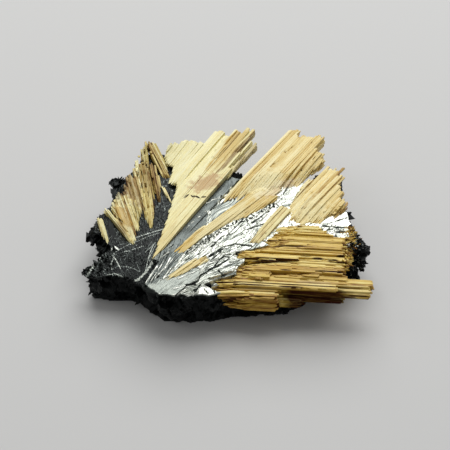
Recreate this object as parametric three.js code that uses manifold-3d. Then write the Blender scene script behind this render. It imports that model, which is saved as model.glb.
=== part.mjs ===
// A rutile starburst: golden rutile needles grown in flat fans on a thick plate of hematite.
// Rutile grows on hematite along three directions 60 degrees apart, so every fan is a pack of parallel
// needles inside an outline. Units are millimetres, +Z is up, and the plate rests on z = 0.
import * as THREE from "three";
import { ConvexGeometry } from "three/addons/geometries/ConvexGeometry.js";
import { mergeVertices } from "three/addons/utils/BufferGeometryUtils.js";
import Module from "manifold-3d";

const wasm = await Module();
wasm.setup();

// ---------------------------------------------------------------- driving dimensions
const WIDTH = 47.4; // along X, from the plate's left tip to the front bundle's needle tips
const DEPTH = 37.2; // along Y, from the plate's front lip to the tips of the back fan
const PLATE_TOP = 8.0; // the hematite's bright upper face, on which most fans lie
const LEFT_TERRACE = 7.4; // the dark face to the left, one growth step lower
const TIP_FALL = 1.4; // how far the dark face drops towards the front left tip
const ROOM_MARGIN = 0.5; // how far the hematite keeps back from the front bundle

const LEFT = -WIDTH / 2;
const RIGHT = WIDTH / 2;
const FRONT = -DEPTH / 2;
const BACK = DEPTH / 2;

// The needles' directions in plan, in degrees from +X, with the small turns that each fan has.
const STAR_TURN = -4;
const FRONT_DIRECTION = STAR_TURN;
const BACK_DIRECTION = STAR_TURN + 61;
const REAR_RIGHT_DIRECTION = STAR_TURN + 57.5;
const RIGHT_DIRECTION = STAR_TURN + 56;
const MIDDLE_DIRECTION = STAR_TURN + 58;
const INNER_DIRECTION = STAR_TURN + 49;

// ---------------------------------------------------------------- small tools
const radians = THREE.MathUtils.degToRad;
const mix = THREE.MathUtils.lerp;

// A repeatable source of numbers from 0 to 1.
function seeded(seed) {
  let state = seed >>> 0;
  return () => {
    state = (Math.imul(state, 1664525) + 1013904223) >>> 0;
    return state / 4294967296;
  };
}

// A three.js geometry as a manifold-3d solid.
function solidOf(geometry) {
  const bare = new THREE.BufferGeometry();
  bare.setAttribute("position", geometry.getAttribute("position").clone());
  bare.setIndex(geometry.index);
  const merged = mergeVertices(bare, 1e-4);
  const vertProperties = new Float32Array(merged.attributes.position.array);
  const triVerts = new Uint32Array(merged.index.array);
  return new wasm.Manifold(new wasm.Mesh({ numProp: 3, vertProperties, triVerts }));
}

// A manifold-3d solid as a three.js geometry with flat faces.
function geometryOf(solid) {
  const mesh = solid.getMesh();
  const indexed = new THREE.BufferGeometry();
  indexed.setAttribute("position", new THREE.BufferAttribute(mesh.vertProperties, 3));
  indexed.setIndex(new THREE.BufferAttribute(mesh.triVerts, 1));
  const flat = indexed.toNonIndexed();
  flat.computeVertexNormals();
  return flat;
}

const joined = (solids) => solids.reduce((whole, next) => whole.add(next));

// The flat-faced body that a set of [x, y, z] corners spans.
function crystal(corners) {
  return solidOf(new ConvexGeometry(corners.map((c) => new THREE.Vector3(...c))));
}

// A straight-walled block over a plan outline.
function block(outline, low, high) {
  const shape = new THREE.Shape(outline.map(([x, y]) => new THREE.Vector2(x, y)));
  const geometry = new THREE.ExtrudeGeometry(shape, { depth: high - low, bevelEnabled: false });
  return solidOf(geometry.translate(0, 0, low));
}

// An outline grown outwards: every corner moves along the mean normal of its two edges.
function grown(outline, distance) {
  const points = outline.map(([x, y]) => new THREE.Vector2(x, y));
  const outwards = THREE.ShapeUtils.isClockWise(points) ? 1 : -1;
  return points.map((point, i) => {
    const before = points.at(i - 1);
    const after = points[(i + 1) % points.length];
    const along = after.clone().sub(point).normalize().add(point.clone().sub(before).normalize());
    const normal = new THREE.Vector2(-along.y, along.x).setLength(outwards * distance);
    return [point.x + normal.x, point.y + normal.y];
  });
}

// Along and across coordinates of a direction in plan.
function axesOf(degrees) {
  const c = Math.cos(radians(degrees));
  const s = Math.sin(radians(degrees));
  return {
    toLocal: ([x, y]) => [x * c + y * s, y * c - x * s],
    toPlan: ([u, v]) => [u * c - v * s, u * s + v * c],
  };
}

// The stretches [enter, leave] in which a line of constant v lies inside an outline in local coordinates.
function spansAt(outline, v) {
  const hits = [];
  outline.forEach(([u0, v0], i) => {
    const [u1, v1] = outline[(i + 1) % outline.length];
    if (v0 <= v !== v1 <= v) hits.push(mix(u0, u1, (v - v0) / (v1 - v0)));
  });
  hits.sort((one, other) => one - other);
  return hits.filter((_, i) => i % 2 === 0).map((hit, i) => [hit, hits[2 * i + 1]]);
}

// ---------------------------------------------------------------- needles
const CROWN = 0.76; // the width of a needle's flat top, as a share of its width
const OVERLAP = 1.1; // neighbouring needles grow into each other by this much
const SHORTEST = 0.7; // pieces of needle shorter than this are left out

// One needle: u runs along it from root to tip, v across it. Its root is cut along the fan's edge, or
// comes to a point there, and starts at a share of the full height, which it reaches after its lead.
function needle(axes, needleSize) {
  const { root, tip, v, width, base, height } = needleSize;
  const { rise = 0, lead = 4, rootShare = 0.25, point = null } = needleSize;
  const half = (width / 2) * OVERLAP;
  const top = half * CROWN;
  const start = Math.max(...root);
  const full = start + Math.min(lead, (Math.min(...tip) - start) * 0.5);
  const at = (u, across, z) => [...axes.toPlan([u, v + across]), z];
  const corners = [-1, 1].flatMap((side, i) => [
    at(root[i], side * half, base),
    at(root[i], side * top, base + height * rootShare),
    at(full, side * top, base + height),
    at(tip[i] - height * 0.1, side * top, base + height + rise),
    at(tip[i], side * half, base + (height + rise) * 0.5),
    at(tip[i] - height * 0.08, side * half, base),
  ]);
  if (point !== null && point < Math.min(...root))
    corners.push(at(point, 0, base), at(point, 0, base + height * rootShare));
  return crystal(corners);
}

// Fills an outline with parallel needles of uneven width, height and length.
function fan({ outline, direction, height, pitch, ragged, seed, uneven = 0.25, ...rest }) {
  const axes = axesOf(direction);
  const local = outline.map(axes.toLocal);
  const chance = seeded(seed);
  const highest = Math.max(...local.map((p) => p[1]));
  const needles = [];
  let v = Math.min(...local.map((p) => p[1]));
  while (v < highest - pitch * 0.3) {
    const width = Math.min(pitch * mix(0.75, 1.3, chance()), highest - v);
    const sides = [0.12, 0.88].map((share) => spansAt(local, v + width * share));
    const tall = height * mix(1 - uneven, 1 + uneven, chance());
    const cut = [chance(), chance()].map((c) => ragged * c);
    const alike = sides[0].length === sides[1].length;
    spansAt(local, v + width * 0.5).forEach((centre, i) => {
      const [one, other] = alike && sides[0][i] ? [sides[0][i], sides[1][i]] : [centre, centre];
      const end = Math.max(one[1], other[1]);
      const root = [one[0], other[0]];
      const tip = [end - cut[0], end - cut[0] - cut[1] * 0.4];
      const [middle, point] = [v + width / 2, centre[0]];
      if (Math.min(...tip) - Math.max(...root) > SHORTEST)
        needles.push(needle(axes, { ...rest, root, point, tip, v: middle, width, height: tall }));
    });
    v += width;
  }
  return needles;
}

// One free-standing needle between two plan points.
function blade([x0, y0], [x1, y1], width, base, height, rise = 0) {
  const degrees = THREE.MathUtils.radToDeg(Math.atan2(y1 - y0, x1 - x0));
  const axes = axesOf(degrees);
  const [u0, v] = axes.toLocal([x0, y0]);
  const [u1] = axes.toLocal([x1, y1]);
  const root = [u0, u0 + width];
  const tip = [u1 - width * 0.6, u1];
  return needle(axes, { root, tip, v, width, base, height, rise, lead: 2 });
}

// ---------------------------------------------------------------- the fans' outlines in plan
const BACK_OUTLINE = [
  [-12.2, -10.9], [-10.2, -3.4], [-8.3, 5.6], [-9.9, 5.8], [-9.0, 9.9], [-10.3, 10.1],
  [-10.7, 12.1], [-10.1, 14.4], [-6.5, 15.3], [-3.6, 15.4], [-1.2, 17.6], [0.9, 17.9],
  [3.2, 17.4], [0.9, 10.6], [0.1, 7.7], [-2.7, 4.2], [-3.6, 2.4], [-9.0, -6.6],
];
const REAR_RIGHT_OUTLINE = [
  [-0.6, 2.6], [3.4, 7.9], [5.2, 10.6], [9.0, 15.0], [10.8, 17.2], [11.9, 18.3],
  [12.5, 16.9], [13.1, 15.8], [13.9, 16.5], [15.8, 16.3], [16.6, 15.6], [15.8, 14.0],
  [14.9, 13.1], [16.2, 12.2], [16.3, 10.4], [15.9, 9.7], [12.8, 6.3], [11.2, 6.0],
  [9.2, 5.4], [8.4, 4.2], [4.6, 3.9], [0.9, 2.9],
];
const BAND_OUTLINE = [
  [-8.3, -9.0], [-5.6, -5.5], [-2.9, -3.2], [-1.6, -2.2], [0.1, -0.5], [1.8, 0.8],
  [3.1, 2.1], [4.6, 4.6], [8.6, 5.6], [8.2, 3.0], [7.7, 1.9], [6.7, 1.1], [5.0, -0.1],
  [3.0, -1.5], [0.9, -2.4], [-0.7, -3.5], [-2.3, -4.9], [-4.0, -6.1], [-6.0, -8.2],
];
const RIGHT_OUTLINE = [
  [13.2, 5.6], [14.4, 6.0], [16.7, 8.7], [18.7, 8.7], [18.3, 6.9], [18.8, 5.2], [18.9, 2.9],
  [19.4, 1.4], [19.4, -0.2], [16.6, -1.6], [14.9, -2.7], [11.2, -2.9], [10.8, -0.6], [10.7, 1.6],
  [11.6, 3.4],
];
const MIDDLE_OUTLINE = [
  [3.6, -7.2], [6.6, -2.5], [9.6, 0.8], [10.3, -0.2], [8.1, -3.3], [6.0, -6.5], [5.0, -7.3],
];
const INNER_OUTLINE = [
  [-9.4, -14.3], [-7.6, -12.6], [-6.0, -11.3], [-4.3, -10.7], [-2.9, -10.5],
  [-3.3, -11.4], [-5.5, -12.7], [-7.6, -14.2], [-8.6, -14.9],
];

// ---------------------------------------------------------------- the back fan
// The widest, smoothest fan, with stepped roots on its left and long free needles on its right.
function backFan() {
  const sheet = fan({
    outline: BACK_OUTLINE, direction: BACK_DIRECTION, base: PLATE_TOP, height: 0.75, rise: 0.45,
    pitch: 0.85, ragged: 0.9, seed: 11, uneven: 0.14,
  });
  const free = [
    blade([-3.6, 8.6], [1.6, BACK], 1.1, PLATE_TOP, 1.15, 0.35),
    blade([-2.3, 8.0], [3.9, 18.0], 1.0, PLATE_TOP, 1.0, 0.4),
    blade([-1.5, 7.6], [4.8, 17.9], 0.7, PLATE_TOP, 0.8, 0.3),
    blade([-1.0, 7.4], [4.3, 15.6], 0.5, PLATE_TOP, 0.7, 0.3),
    blade([-0.4, 7.0], [2.9, 12.4], 1.0, PLATE_TOP, 0.8, 0.2),
    blade([0.4, 8.0], [5.1, 14.6], 0.55, PLATE_TOP, 0.75, 0.3),
  ];
  return joined([...sheet, ...free]);
}

// ---------------------------------------------------------------- the rear right fan
// Tall square-edged columns, with a lower band that runs back towards the star's centre.
function rearRightFan() {
  const columns = fan({
    outline: REAR_RIGHT_OUTLINE, direction: REAR_RIGHT_DIRECTION, base: PLATE_TOP, height: 1.2, rise: 0.35,
    pitch: 0.95, ragged: 0.8, seed: 23, uneven: 0.3,
  });
  const band = fan({
    outline: BAND_OUTLINE, direction: INNER_DIRECTION, base: PLATE_TOP, height: 0.5,
    pitch: 0.9, ragged: 0.3, seed: 29, uneven: 0.2,
  });
  return joined([...columns, ...band]);
}

// ---------------------------------------------------------------- the right fan and two blades
function rightFan() {
  return joined(fan({
    outline: RIGHT_OUTLINE, direction: RIGHT_DIRECTION, base: PLATE_TOP, height: 0.8, rise: 0.2,
    pitch: 0.85, ragged: 0.8, seed: 31, uneven: 0.3,
  }));
}

function middleBlade() {
  return joined(fan({
    outline: MIDDLE_OUTLINE, direction: MIDDLE_DIRECTION, base: PLATE_TOP, height: 0.5, pitch: 0.7, ragged: 0.5, seed: 37,
  }));
}

function innerBlade() {
  return joined(fan({
    outline: INNER_OUTLINE, direction: INNER_DIRECTION - 4, base: PLATE_TOP, height: 0.35, pitch: 0.6, ragged: 0.3, seed: 41,
  }));
}

// ---------------------------------------------------------------- the left spray
// Pointed leaves of needles whose roots face the star's centre, broken off along the plate's edge.
const LEAVES = [
  {
    direction: 110, height: 1.1, rise: 0.4, ragged: 0.8, seed: 51, outline: [
      [-15.4, -7.3], [-16.7, -5.3], [-18.1, -2.9], [-19.1, 0.4], [-19.2, 2.3], [-18.4, 4.2],
      [-17.0, 4.6], [-15.3, 0.8], [-14.4, -0.6], [-14.6, -2.7], [-15.0, -4.8],
    ],
  },
  {
    direction: 107, height: 1.0, rise: 0.7, ragged: 0.9, seed: 52, outline: [
      [-14.3, 0.0], [-15.4, 0.6], [-16.8, 3.0], [-17.3, 5.0], [-16.9, 7.8], [-15.9, 8.2],
      [-16.0, 10.0], [-15.2, 11.2], [-14.0, 10.8], [-13.8, 6.0],
    ],
  },
  {
    direction: 105, height: 1.2, rise: 0.5, ragged: 0.8, seed: 53, outline: [
      [-12.4, -3.8], [-13.1, -2.2], [-13.9, 0.0], [-14.2, 1.9], [-14.7, 4.6], [-15.1, 7.6],
      [-14.6, 10.6], [-13.4, 11.4], [-12.8, 9.2], [-12.3, 5.3], [-12.1, -0.3],
    ],
  },
  {
    direction: 102, height: 1.0, rise: 0.3, ragged: 0.5, seed: 54, outline: [
      [-11.3, 1.9], [-11.9, 3.6], [-12.1, 6.1], [-12.6, 7.6], [-13.3, 10.9], [-12.6, 10.6],
      [-11.9, 8.4], [-11.4, 6.9], [-11.2, 4.6],
    ],
  },
  {
    direction: 103, height: 1.2, rise: 0.7, ragged: 0.5, seed: 55, outline: [
      [-14.3, 9.4], [-15.2, 10.8], [-14.6, 13.2], [-14.3, 14.8], [-13.6, 15.6], [-13.0, 15.2],
      [-13.4, 13.4], [-13.4, 11.0],
    ],
  },
  {
    direction: 114, height: 1.1, rise: 0.5, ragged: 0.4, seed: 56, outline: [
      [-9.8, 7.8], [-10.8, 8.2], [-11.5, 8.9], [-12.1, 10.6], [-13.2, 13.1], [-13.9, 15.0],
      [-12.4, 14.9], [-11.6, 12.9], [-10.5, 11.0], [-10.0, 9.4],
    ],
  },
];

function leftSpray() {
  const leaves = LEAVES.flatMap((leaf) => fan({ ...leaf, base: LEFT_TERRACE, pitch: 0.62 }));
  const edges = [
    blade([-15.5, -7.0], [-20.2, 0.2], 0.55, LEFT_TERRACE, 0.9, 0.3),
    blade([-11.9, 15.4], [-14.4, 14.6], 0.6, LEFT_TERRACE + 0.6, 1.1),
  ];
  return joined([...leaves, ...edges]);
}

const leftBlade = () => blade([-19.8, -6.4], [-21.1, -1.9], 0.8, LEFT_TERRACE, 0.9, 0.3);
const leftSliver = () => blade([-9.5, 2.3], [-10.8, 5.6], 0.4, LEFT_TERRACE, 0.5);

// ---------------------------------------------------------------- the front bundle
// A staircase of needle layers over the plate's front right side. Their left points are level with the
// plate's upper face. The front edges are broken off in steps.
const LAYERS = [
  {
    top: 8.8, thick: 1.5, seed: 101, outline: [
      [6.1, -7.3], [9.8, -4.0], [15.0, -3.9], [16.0, -5.3], [17.1, -6.2], [20.0, -7.2],
      [20.2, -9.4], [12.7, -8.9], [8.6, -8.5],
    ],
  },
  {
    top: 8.4, thick: 1.5, seed: 102, outline: [
      [0.8, -9.8], [2.6, -9.0], [5.1, -8.4], [6.9, -7.8], [12.7, -8.2], [20.2, -9.2], [20.0, -11.7],
      [16.9, -11.5], [15.6, -10.7], [12.4, -10.5], [11.8, -11.2], [8.9, -11.1], [8.6, -11.6],
      [5.6, -11.4], [2.2, -10.5],
    ],
  },
  {
    top: 8.1, thick: 1.6, seed: 103, outline: [
      [1.9, -12.1], [3.2, -11.3], [8.5, -10.8], [12.0, -10.0], [16.0, -10.2], [20.0, -11.3],
      [18.9, -14.2], [11.4, -14.0],
      [11.0, -13.3], [7.8, -13.4], [7.5, -14.4], [5.4, -14.5], [5.0, -14.9], [2.4, -14.4], [1.4, -13.3],
    ],
  },
  {
    top: 7.7, thick: 1.5, seed: 104, outline: [
      [-2.8, -14.9], [0.6, -13.9], [6.0, -13.6], [8.0, -13.0], [12.0, -13.0], [18.6, -13.8],
      [20.4, -14.9], [20.0, -15.5], [18.2, -15.7], [17.5, -16.8], [11.6, -16.3], [-0.4, -15.7],
    ],
  },
  {
    top: 7.2, thick: 1.6, seed: 105, outline: [
      [-3.2, -16.2], [-1.4, -15.5], [9.4, -15.4], [9.2, -16.6], [8.6, -17.8], [4.0, -17.8],
      [-1.4, -17.1],
    ],
  },
  {
    top: 5.8, thick: 1.6, seed: 106, outline: [
      [-1.4, -16.2], [8.9, -15.9], [13.0, -16.2], [12.6, -17.3], [8.8, -17.2], [8.4, -18.2],
      [4.0, -18.2], [0.6, -17.7],
    ],
  },
];

function frontBundle() {
  const layers = LAYERS.flatMap(({ top, thick, seed, outline }) => fan({
    outline, direction: FRONT_DIRECTION, base: top - thick, height: thick, pitch: 0.66,
    ragged: 0.7, seed, uneven: 0.1, lead: 3, rootShare: 0.55,
  }));
  // Rods that stand out past the bundle's right end.
  const rods = [
    blade([14.0, -14.6], [RIGHT - 0.1, -15.3], 0.8, 6.7, 1.0),
    blade([14.0, -15.3], [RIGHT, -16.1], 0.7, 6.6, 1.0),
    blade([12.0, -15.8], [RIGHT - 0.4, -16.9], 0.5, 6.5, 0.8),
    blade([12.0, -16.2], [RIGHT - 0.5, -17.4], 0.5, 6.2, 0.8),
    blade([7.0, -15.4], [18.6, -16.2], 1.0, 5.4, 0.9),
    blade([7.0, -15.9], [19.4, -16.6], 0.8, 4.6, 0.9),
  ];
  return joined([...layers, ...rods]);
}

// ---------------------------------------------------------------- the hematite plate
const PLATE_OUTLINE = [
  [LEFT, -12.2], [-22.9, -13.1], [-21.0, -13.4], [-19.5, -13.7], [-17.0, -13.6], [-15.0, -14.2],
  [-14.3, -15.1], [-13.3, -15.9], [-12.4, -16.8], [-10.9, -18.1], [-8.4, -18.4], [-7.6, -18.0],
  [-6.3, FRONT], [-5.0, -18.1], [-3.0, -18.3], [-1.6, -17.9], [0.0, -17.4], [4.0, -17.0],
  [9.0, -16.6], [13.0, -14.8], [16.0, -12.0], [18.6, -9.6], [20.4, -8.9], [21.7, -8.6],
  [22.2, -7.4], [21.6, -5.8], [20.8, -4.6], [20.4, -3.4], [19.9, -1.0], [19.4, 0.2], [18.7, 1.0],
  [18.4, 3.4], [18.2, 5.4], [17.4, 7.0], [15.5, 7.0], [13.4, 5.8], [12.6, 6.2], [11.6, 8.5],
  [11.0, 10.5], [8.6, 11.4], [6.2, 10.2], [4.2, 8.4], [2.6, 7.0], [0.4, 7.7], [-1.2, 9.4],
  [-2.2, 11.4], [-4.0, 12.4], [-6.5, 12.8], [-9.5, 12.4], [-11.0, 13.4], [-12.6, 14.2],
  [-14.2, 13.2], [-15.0, 11.4], [-16.2, 9.2], [-17.2, 7.8], [-19.0, 7.4], [-19.7, 6.2],
  [-19.4, 4.2], [-19.6, 2.4], [-20.0, 0.6], [-21.5, -0.8], [-21.8, -2.8], [-22.0, -4.4],
  [-20.8, -5.8], [-19.8, -6.9], [-19.2, -7.6], [-20.2, -9.0], [-21.3, -10.3], [-22.6, -11.4],
];
const WALL_STEPS = 5; // rings of facets between the plate's underside and its upper face
const WALL_FACET = 1.7; // longest facet along the wall
const WALL_ROUGH = 0.55; // how far the broken wall wanders

// Splits long edges of an outline, so that the wall breaks into facets of one size. The new corners
// stand a little off the straight line.
function divided(outline, longest, chance) {
  return outline.flatMap(([x0, y0], i) => {
    const [x1, y1] = outline[(i + 1) % outline.length];
    const length = Math.hypot(x1 - x0, y1 - y0);
    const parts = Math.ceil(length / longest);
    return Array.from({ length: parts }, (_, k) => {
      const off = k ? mix(0.06, 0.2, chance()) * (k % 2 ? 1 : -1) : 0;
      const [dx, dy] = [(x1 - x0) / length, (y1 - y0) / length];
      return [mix(x0, x1, k / parts) - dy * off, mix(y0, y1, k / parts) + dx * off];
    });
  });
}

// The plate with a broken, uneven wall: rings between the flat faces wander in and out, and the
// lower ones draw in towards the middle.
function brokenPlate() {
  const chance = seeded(71);
  const outline = divided(PLATE_OUTLINE, WALL_FACET, chance);
  const shape = new THREE.Shape(outline.map(([x, y]) => new THREE.Vector2(x, y)));
  const geometry = mergeVertices(new THREE.ExtrudeGeometry(shape, {
    depth: PLATE_TOP, steps: WALL_STEPS, bevelEnabled: false,
  }).deleteAttribute("normal").deleteAttribute("uv"), 1e-3);
  const position = geometry.attributes.position;
  for (let i = 0; i < position.count; i++) {
    const z = position.getZ(i);
    const wander = [0, 1, 2].map(() => (chance() - 0.5) * 2 * WALL_ROUGH);
    if (z > PLATE_TOP - 0.01) continue;
    const draw = mix(0.95, 1, z / PLATE_TOP);
    const onFloor = z < 0.01;
    position.setX(i, position.getX(i) * draw + (onFloor ? 0 : wander[0]));
    position.setY(i, position.getY(i) * draw + (onFloor ? 0 : wander[1] * 0.6 + 0.3));
    position.setZ(i, onFloor ? 0 : z + wander[2] * 0.6);
  }
  return solidOf(geometry);
}

// The region that is cut down to a lower face: everything over an outline and above a height.
const above = (outline, height) => block(outline, height, PLATE_TOP + 6);

// The dark left terrace and the facets that fall away from it at the front left tip.
function leftCuts() {
  const terrace = above([
    [-26, -18], [-14.9, -18], [-13.2, -13.8], [-12.2, -11.0], [-9.6, -3.0], [-7.9, 5.0],
    [-8.6, 10.5], [-10.0, 20], [-26, 20],
  ], LEFT_TERRACE);
  const hinge = [[-19.9, -6.6], [-11.4, -11.0]];
  const [foot, head] = [LEFT_TERRACE - TIP_FALL, PLATE_TOP + 4];
  const tipFacet = crystal([
    ...hinge.flatMap(([x, y]) => [[x, y, LEFT_TERRACE], [x, y, head]]),
    ...[[-30, -10], [-16, -20], [-13.6, -20]].flatMap(([x, y]) => [[x, y, head]]),
    [-30, -10, foot - 0.2], [-23.4, -16.2, foot - 0.5], [-14.2, -17.4, foot + 0.3],
  ]);
  return [terrace, tipFacet];
}

// Room for the front bundle: each layer's own step, open above it, and a recess for the lowest rods.
function bundleRoom() {
  const recess = above([[6.4, -14.4], [22, -15.4], [22, -19], [6.4, -19]], 4.3);
  const steps = LAYERS.map(({ outline, top, thick }) =>
    above(grown(outline, ROOM_MARGIN), top - thick),
  );
  return [...steps, recess];
}

// The raised slate bar between the two back fans, with its square end.
function slateBar() {
  const [under, rise] = [PLATE_TOP - 0.6, PLATE_TOP + 0.4];
  return crystal([
    [-9.1, -7.7, under], [-8.2, -8.0, under], [0.7, 7.4, under], [2.2, 6.8, under],
    [-8.9, -7.5, PLATE_TOP - 0.2], [-8.3, -7.7, PLATE_TOP - 0.2], [-5.9, -2.9, rise - 0.2],
    [-5.0, -3.2, rise - 0.2], [0.8, 7.2, rise], [2.0, 6.7, rise],
  ]);
}

// Low roof-shaped growth ridges that run out from the star's centre over the bright face. Each is
// given by its two sunken ends, its width and how far its crest stands up.
const RIDGES = [
  [[-13.2, -15.2], [-10.8, -11.9], 0.6, 0.3], [[-12.0, -15.7], [-9.3, -11.4], 0.6, 0.35],
  [[-9.8, -12.6], [-6.6, -9.9], 0.7, 0.3], [[-6.0, -10.3], [-1.2, -5.9], 1.0, 0.35],
  [[-3.6, -9.6], [2.4, -3.6], 0.9, 0.3], [[-2.2, -10.0], [3.0, -6.6], 0.8, 0.3],
  [[3.2, -2.9], [8.0, 1.0], 0.9, 0.35], [[8.9, 2.2], [11.0, 5.1], 0.9, 0.4],
  [[-6.6, -16.7], [-3.5, -13.3], 0.7, 0.3], [[-8.6, -17.0], [-6.4, -14.8], 0.7, 0.3],
];

function growthRidges() {
  const [under, sunk] = [PLATE_TOP - 0.6, PLATE_TOP - 0.2];
  return RIDGES.map(([[x0, y0], [x1, y1], width, height]) => {
    const along = new THREE.Vector2(x1 - x0, y1 - y0).normalize();
    const [px, py] = [(-along.y * width) / 2, (along.x * width) / 2];
    const [mx, my] = [mix(x0, x1, 0.6), mix(y0, y1, 0.6)];
    return crystal([
      [x0, y0, under], [x1, y1, under], [x0, y0, sunk], [x1, y1, sunk],
      [mx + px, my + py, under], [mx - px, my - py, under],
      [mx + px, my + py, sunk], [mx - px, my - py, sunk], [mx, my, PLATE_TOP + height],
    ]);
  });
}

// A blocky little hematite crystal, a turned and tilted box with its corners cut.
function grain(centre, size, turn, tilt) {
  const geometry = new THREE.IcosahedronGeometry(1, 0);
  geometry.scale(size[0], size[1], size[2]);
  geometry.rotateX(tilt).rotateZ(turn).translate(...centre);
  return solidOf(geometry);
}

// The black crust of small crystals at the right end, and the dark spikes at the left edge.
function darkCrust() {
  const chance = seeded(83);
  const crust = Array.from({ length: 18 }, (_, i) => {
    const share = i / 17;
    const z = mix(7.3, 2.6, share) + chance() * 0.6;
    const centre = [mix(20.9, 22.0, chance()) + share * 0.3, mix(-5.6, -8.8, chance()) - share * 0.3, z];
    const size = [mix(0.5, 0.9, chance()), mix(0.5, 0.8, chance()), mix(0.5, 1.1, chance())];
    return grain(centre, size, chance() * 3, chance() * 2);
  });
  const spikes = [
    [[-19.8, -5.5], [-23.0, -4.2], 6.9], [[-20.3, -3.9], [-22.8, -2.4], 6.5],
    [[-20.7, -2.8], [-22.9, -4.9], 5.4], [[-19.0, -7.4], [-22.0, -6.5], 6.6],
  ].map(([[x0, y0], [x1, y1], z]) => crystal([
    [x0, y0 - 0.7, z - 1.4], [x0, y0 + 0.7, z - 1.4], [x0 + 0.4, y0, z + 0.3],
    [x0, y0, z - 2.6], [x1, y1, z - 0.6],
  ]));
  const knobs = [
    grain([-18.9, 6.4, 7.4], [1.0, 0.9, 0.9], 0.4, 0.3),
    grain([-17.9, 7.2, 7.3], [0.8, 0.7, 0.8], 1.2, 0.7),
  ];
  return [...crust, ...spikes, ...knobs];
}

function hematitePlate() {
  const cut = [...leftCuts(), ...bundleRoom()];
  const plate = cut.reduce((whole, next) => whole.subtract(next), brokenPlate());
  return joined([plate, slateBar(), ...growthRidges(), ...darkCrust()]);
}

// ---------------------------------------------------------------- materials and the scene graph
const hematite = new THREE.MeshStandardMaterial({ color: 0x5a6068, roughness: 0.28, metalness: 0.9 });
const rutile = (color) => new THREE.MeshStandardMaterial({ color, roughness: 0.38, metalness: 0.25 });

const NODES = {
  hematite_plate: [hematitePlate, hematite],
  rutile_fan_back: [backFan, rutile(0xe0cf8e)],
  rutile_fan_rear_right: [rearRightFan, rutile(0xdabb6c)],
  rutile_fan_right: [rightFan, rutile(0xd6b76a)],
  rutile_bundle_front: [frontBundle, rutile(0xb88f42)],
  rutile_spray_left: [leftSpray, rutile(0xcaa85c)],
  rutile_blade_left: [leftBlade, rutile(0xd9c98c)],
  rutile_sliver_left: [leftSliver, rutile(0xc9c294)],
  rutile_blade_middle: [middleBlade, rutile(0xdcc681)],
  rutile_blade_inner: [innerBlade, rutile(0xd4b56a)],
};

const starburst = new THREE.Group();
for (const [name, [make, material]] of Object.entries(NODES)) {
  const mesh = new THREE.Mesh(geometryOf(make()), material);
  mesh.name = name;
  starburst.add(mesh);
}

// The origin is under the middle of the whole piece, on the face it rests on.
const middle = new THREE.Box3().setFromObject(starburst).getCenter(new THREE.Vector3());
starburst.children.forEach((mesh) => mesh.geometry.translate(-middle.x, -middle.y, 0));

export default starburst;
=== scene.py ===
"""The looks of the rutile starburst: golden rutile needles in flat fans on a plate of hematite.

Sizes in this script are millimetres in the part's own frame, and become metres when a mesh is made.
"""

import math
import random

import bpy
import numpy as np
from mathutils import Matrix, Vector, noise
from mathutils.bvhtree import BVHTree
from mathutils.kdtree import KDTree


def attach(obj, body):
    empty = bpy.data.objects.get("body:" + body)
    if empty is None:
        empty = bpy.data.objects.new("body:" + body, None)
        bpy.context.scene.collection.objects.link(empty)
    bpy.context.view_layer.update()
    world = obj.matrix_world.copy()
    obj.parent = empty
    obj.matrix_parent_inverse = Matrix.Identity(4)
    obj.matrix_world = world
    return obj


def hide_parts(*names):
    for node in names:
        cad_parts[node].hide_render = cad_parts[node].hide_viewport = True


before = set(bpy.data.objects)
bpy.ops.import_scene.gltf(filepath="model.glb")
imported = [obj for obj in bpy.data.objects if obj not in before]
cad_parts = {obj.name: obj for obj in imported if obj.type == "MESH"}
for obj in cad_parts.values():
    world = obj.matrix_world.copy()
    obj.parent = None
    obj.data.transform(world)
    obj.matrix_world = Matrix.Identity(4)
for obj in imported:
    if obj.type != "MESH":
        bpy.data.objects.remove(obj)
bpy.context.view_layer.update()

MM = 0.001
PLATE_TOP = 8.0  # the hematite's bright upper face
LEFT_TERRACE = 7.4  # the dark face to the left, one growth step lower

# ------------ camera, floor and light
VIEW_ELEVATION = 48.0
VIEW_DISTANCE = 300.0
VIEW_FIELD = 14.04
VIEW_TARGET = (-0.44, -3.44, 8.0)
FLOOR_SIZE = 1600.0
FLOOR_COLOUR = (0.62, 0.62, 0.61)
SKY_GREY, SKY_STRENGTH = 0.9, 0.28
LIGHT_DISTANCE = 620
SOFTBOXES = [
    # name, azimuth from +X, elevation, side in mm, watts
    ("back_light", 80, 50, 660, 4.4), ("side_light", 170, 40, 300, 0.3),
]


def direction_of(azimuth, elevation):
    """The unit vector that leaves the origin at an azimuth from +X and an elevation, in degrees."""
    a, e = math.radians(azimuth), math.radians(elevation)
    return Vector((math.cos(a) * math.cos(e), math.sin(a) * math.cos(e), math.sin(e)))


def aimed(obj, place, target):
    """An object put into the scene at a place, and turned to face a target."""
    obj.location = place
    obj.rotation_euler = (target - place).to_track_quat("-Z", "Y").to_euler()
    bpy.context.scene.collection.objects.link(obj)
    return obj


def add_camera():
    lens = bpy.data.cameras.new("camera")
    lens.angle = math.radians(VIEW_FIELD)
    lens.clip_end = 10
    target = Vector(VIEW_TARGET) * MM
    place = target + direction_of(-90, VIEW_ELEVATION) * VIEW_DISTANCE * MM
    bpy.context.scene.camera = aimed(bpy.data.objects.new("camera", lens), place, target)


def add_softbox(name, azimuth, elevation, size, watts):
    """A square soft light, seen from the object at an azimuth from +X and an elevation."""
    lamp = bpy.data.lights.new(name, "AREA")
    lamp.size = size * MM
    lamp.energy = watts
    target = Vector((0, 0, PLATE_TOP)) * MM
    place = target + direction_of(azimuth, elevation) * LIGHT_DISTANCE * MM
    aimed(bpy.data.objects.new(name, lamp), place, target)


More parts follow.
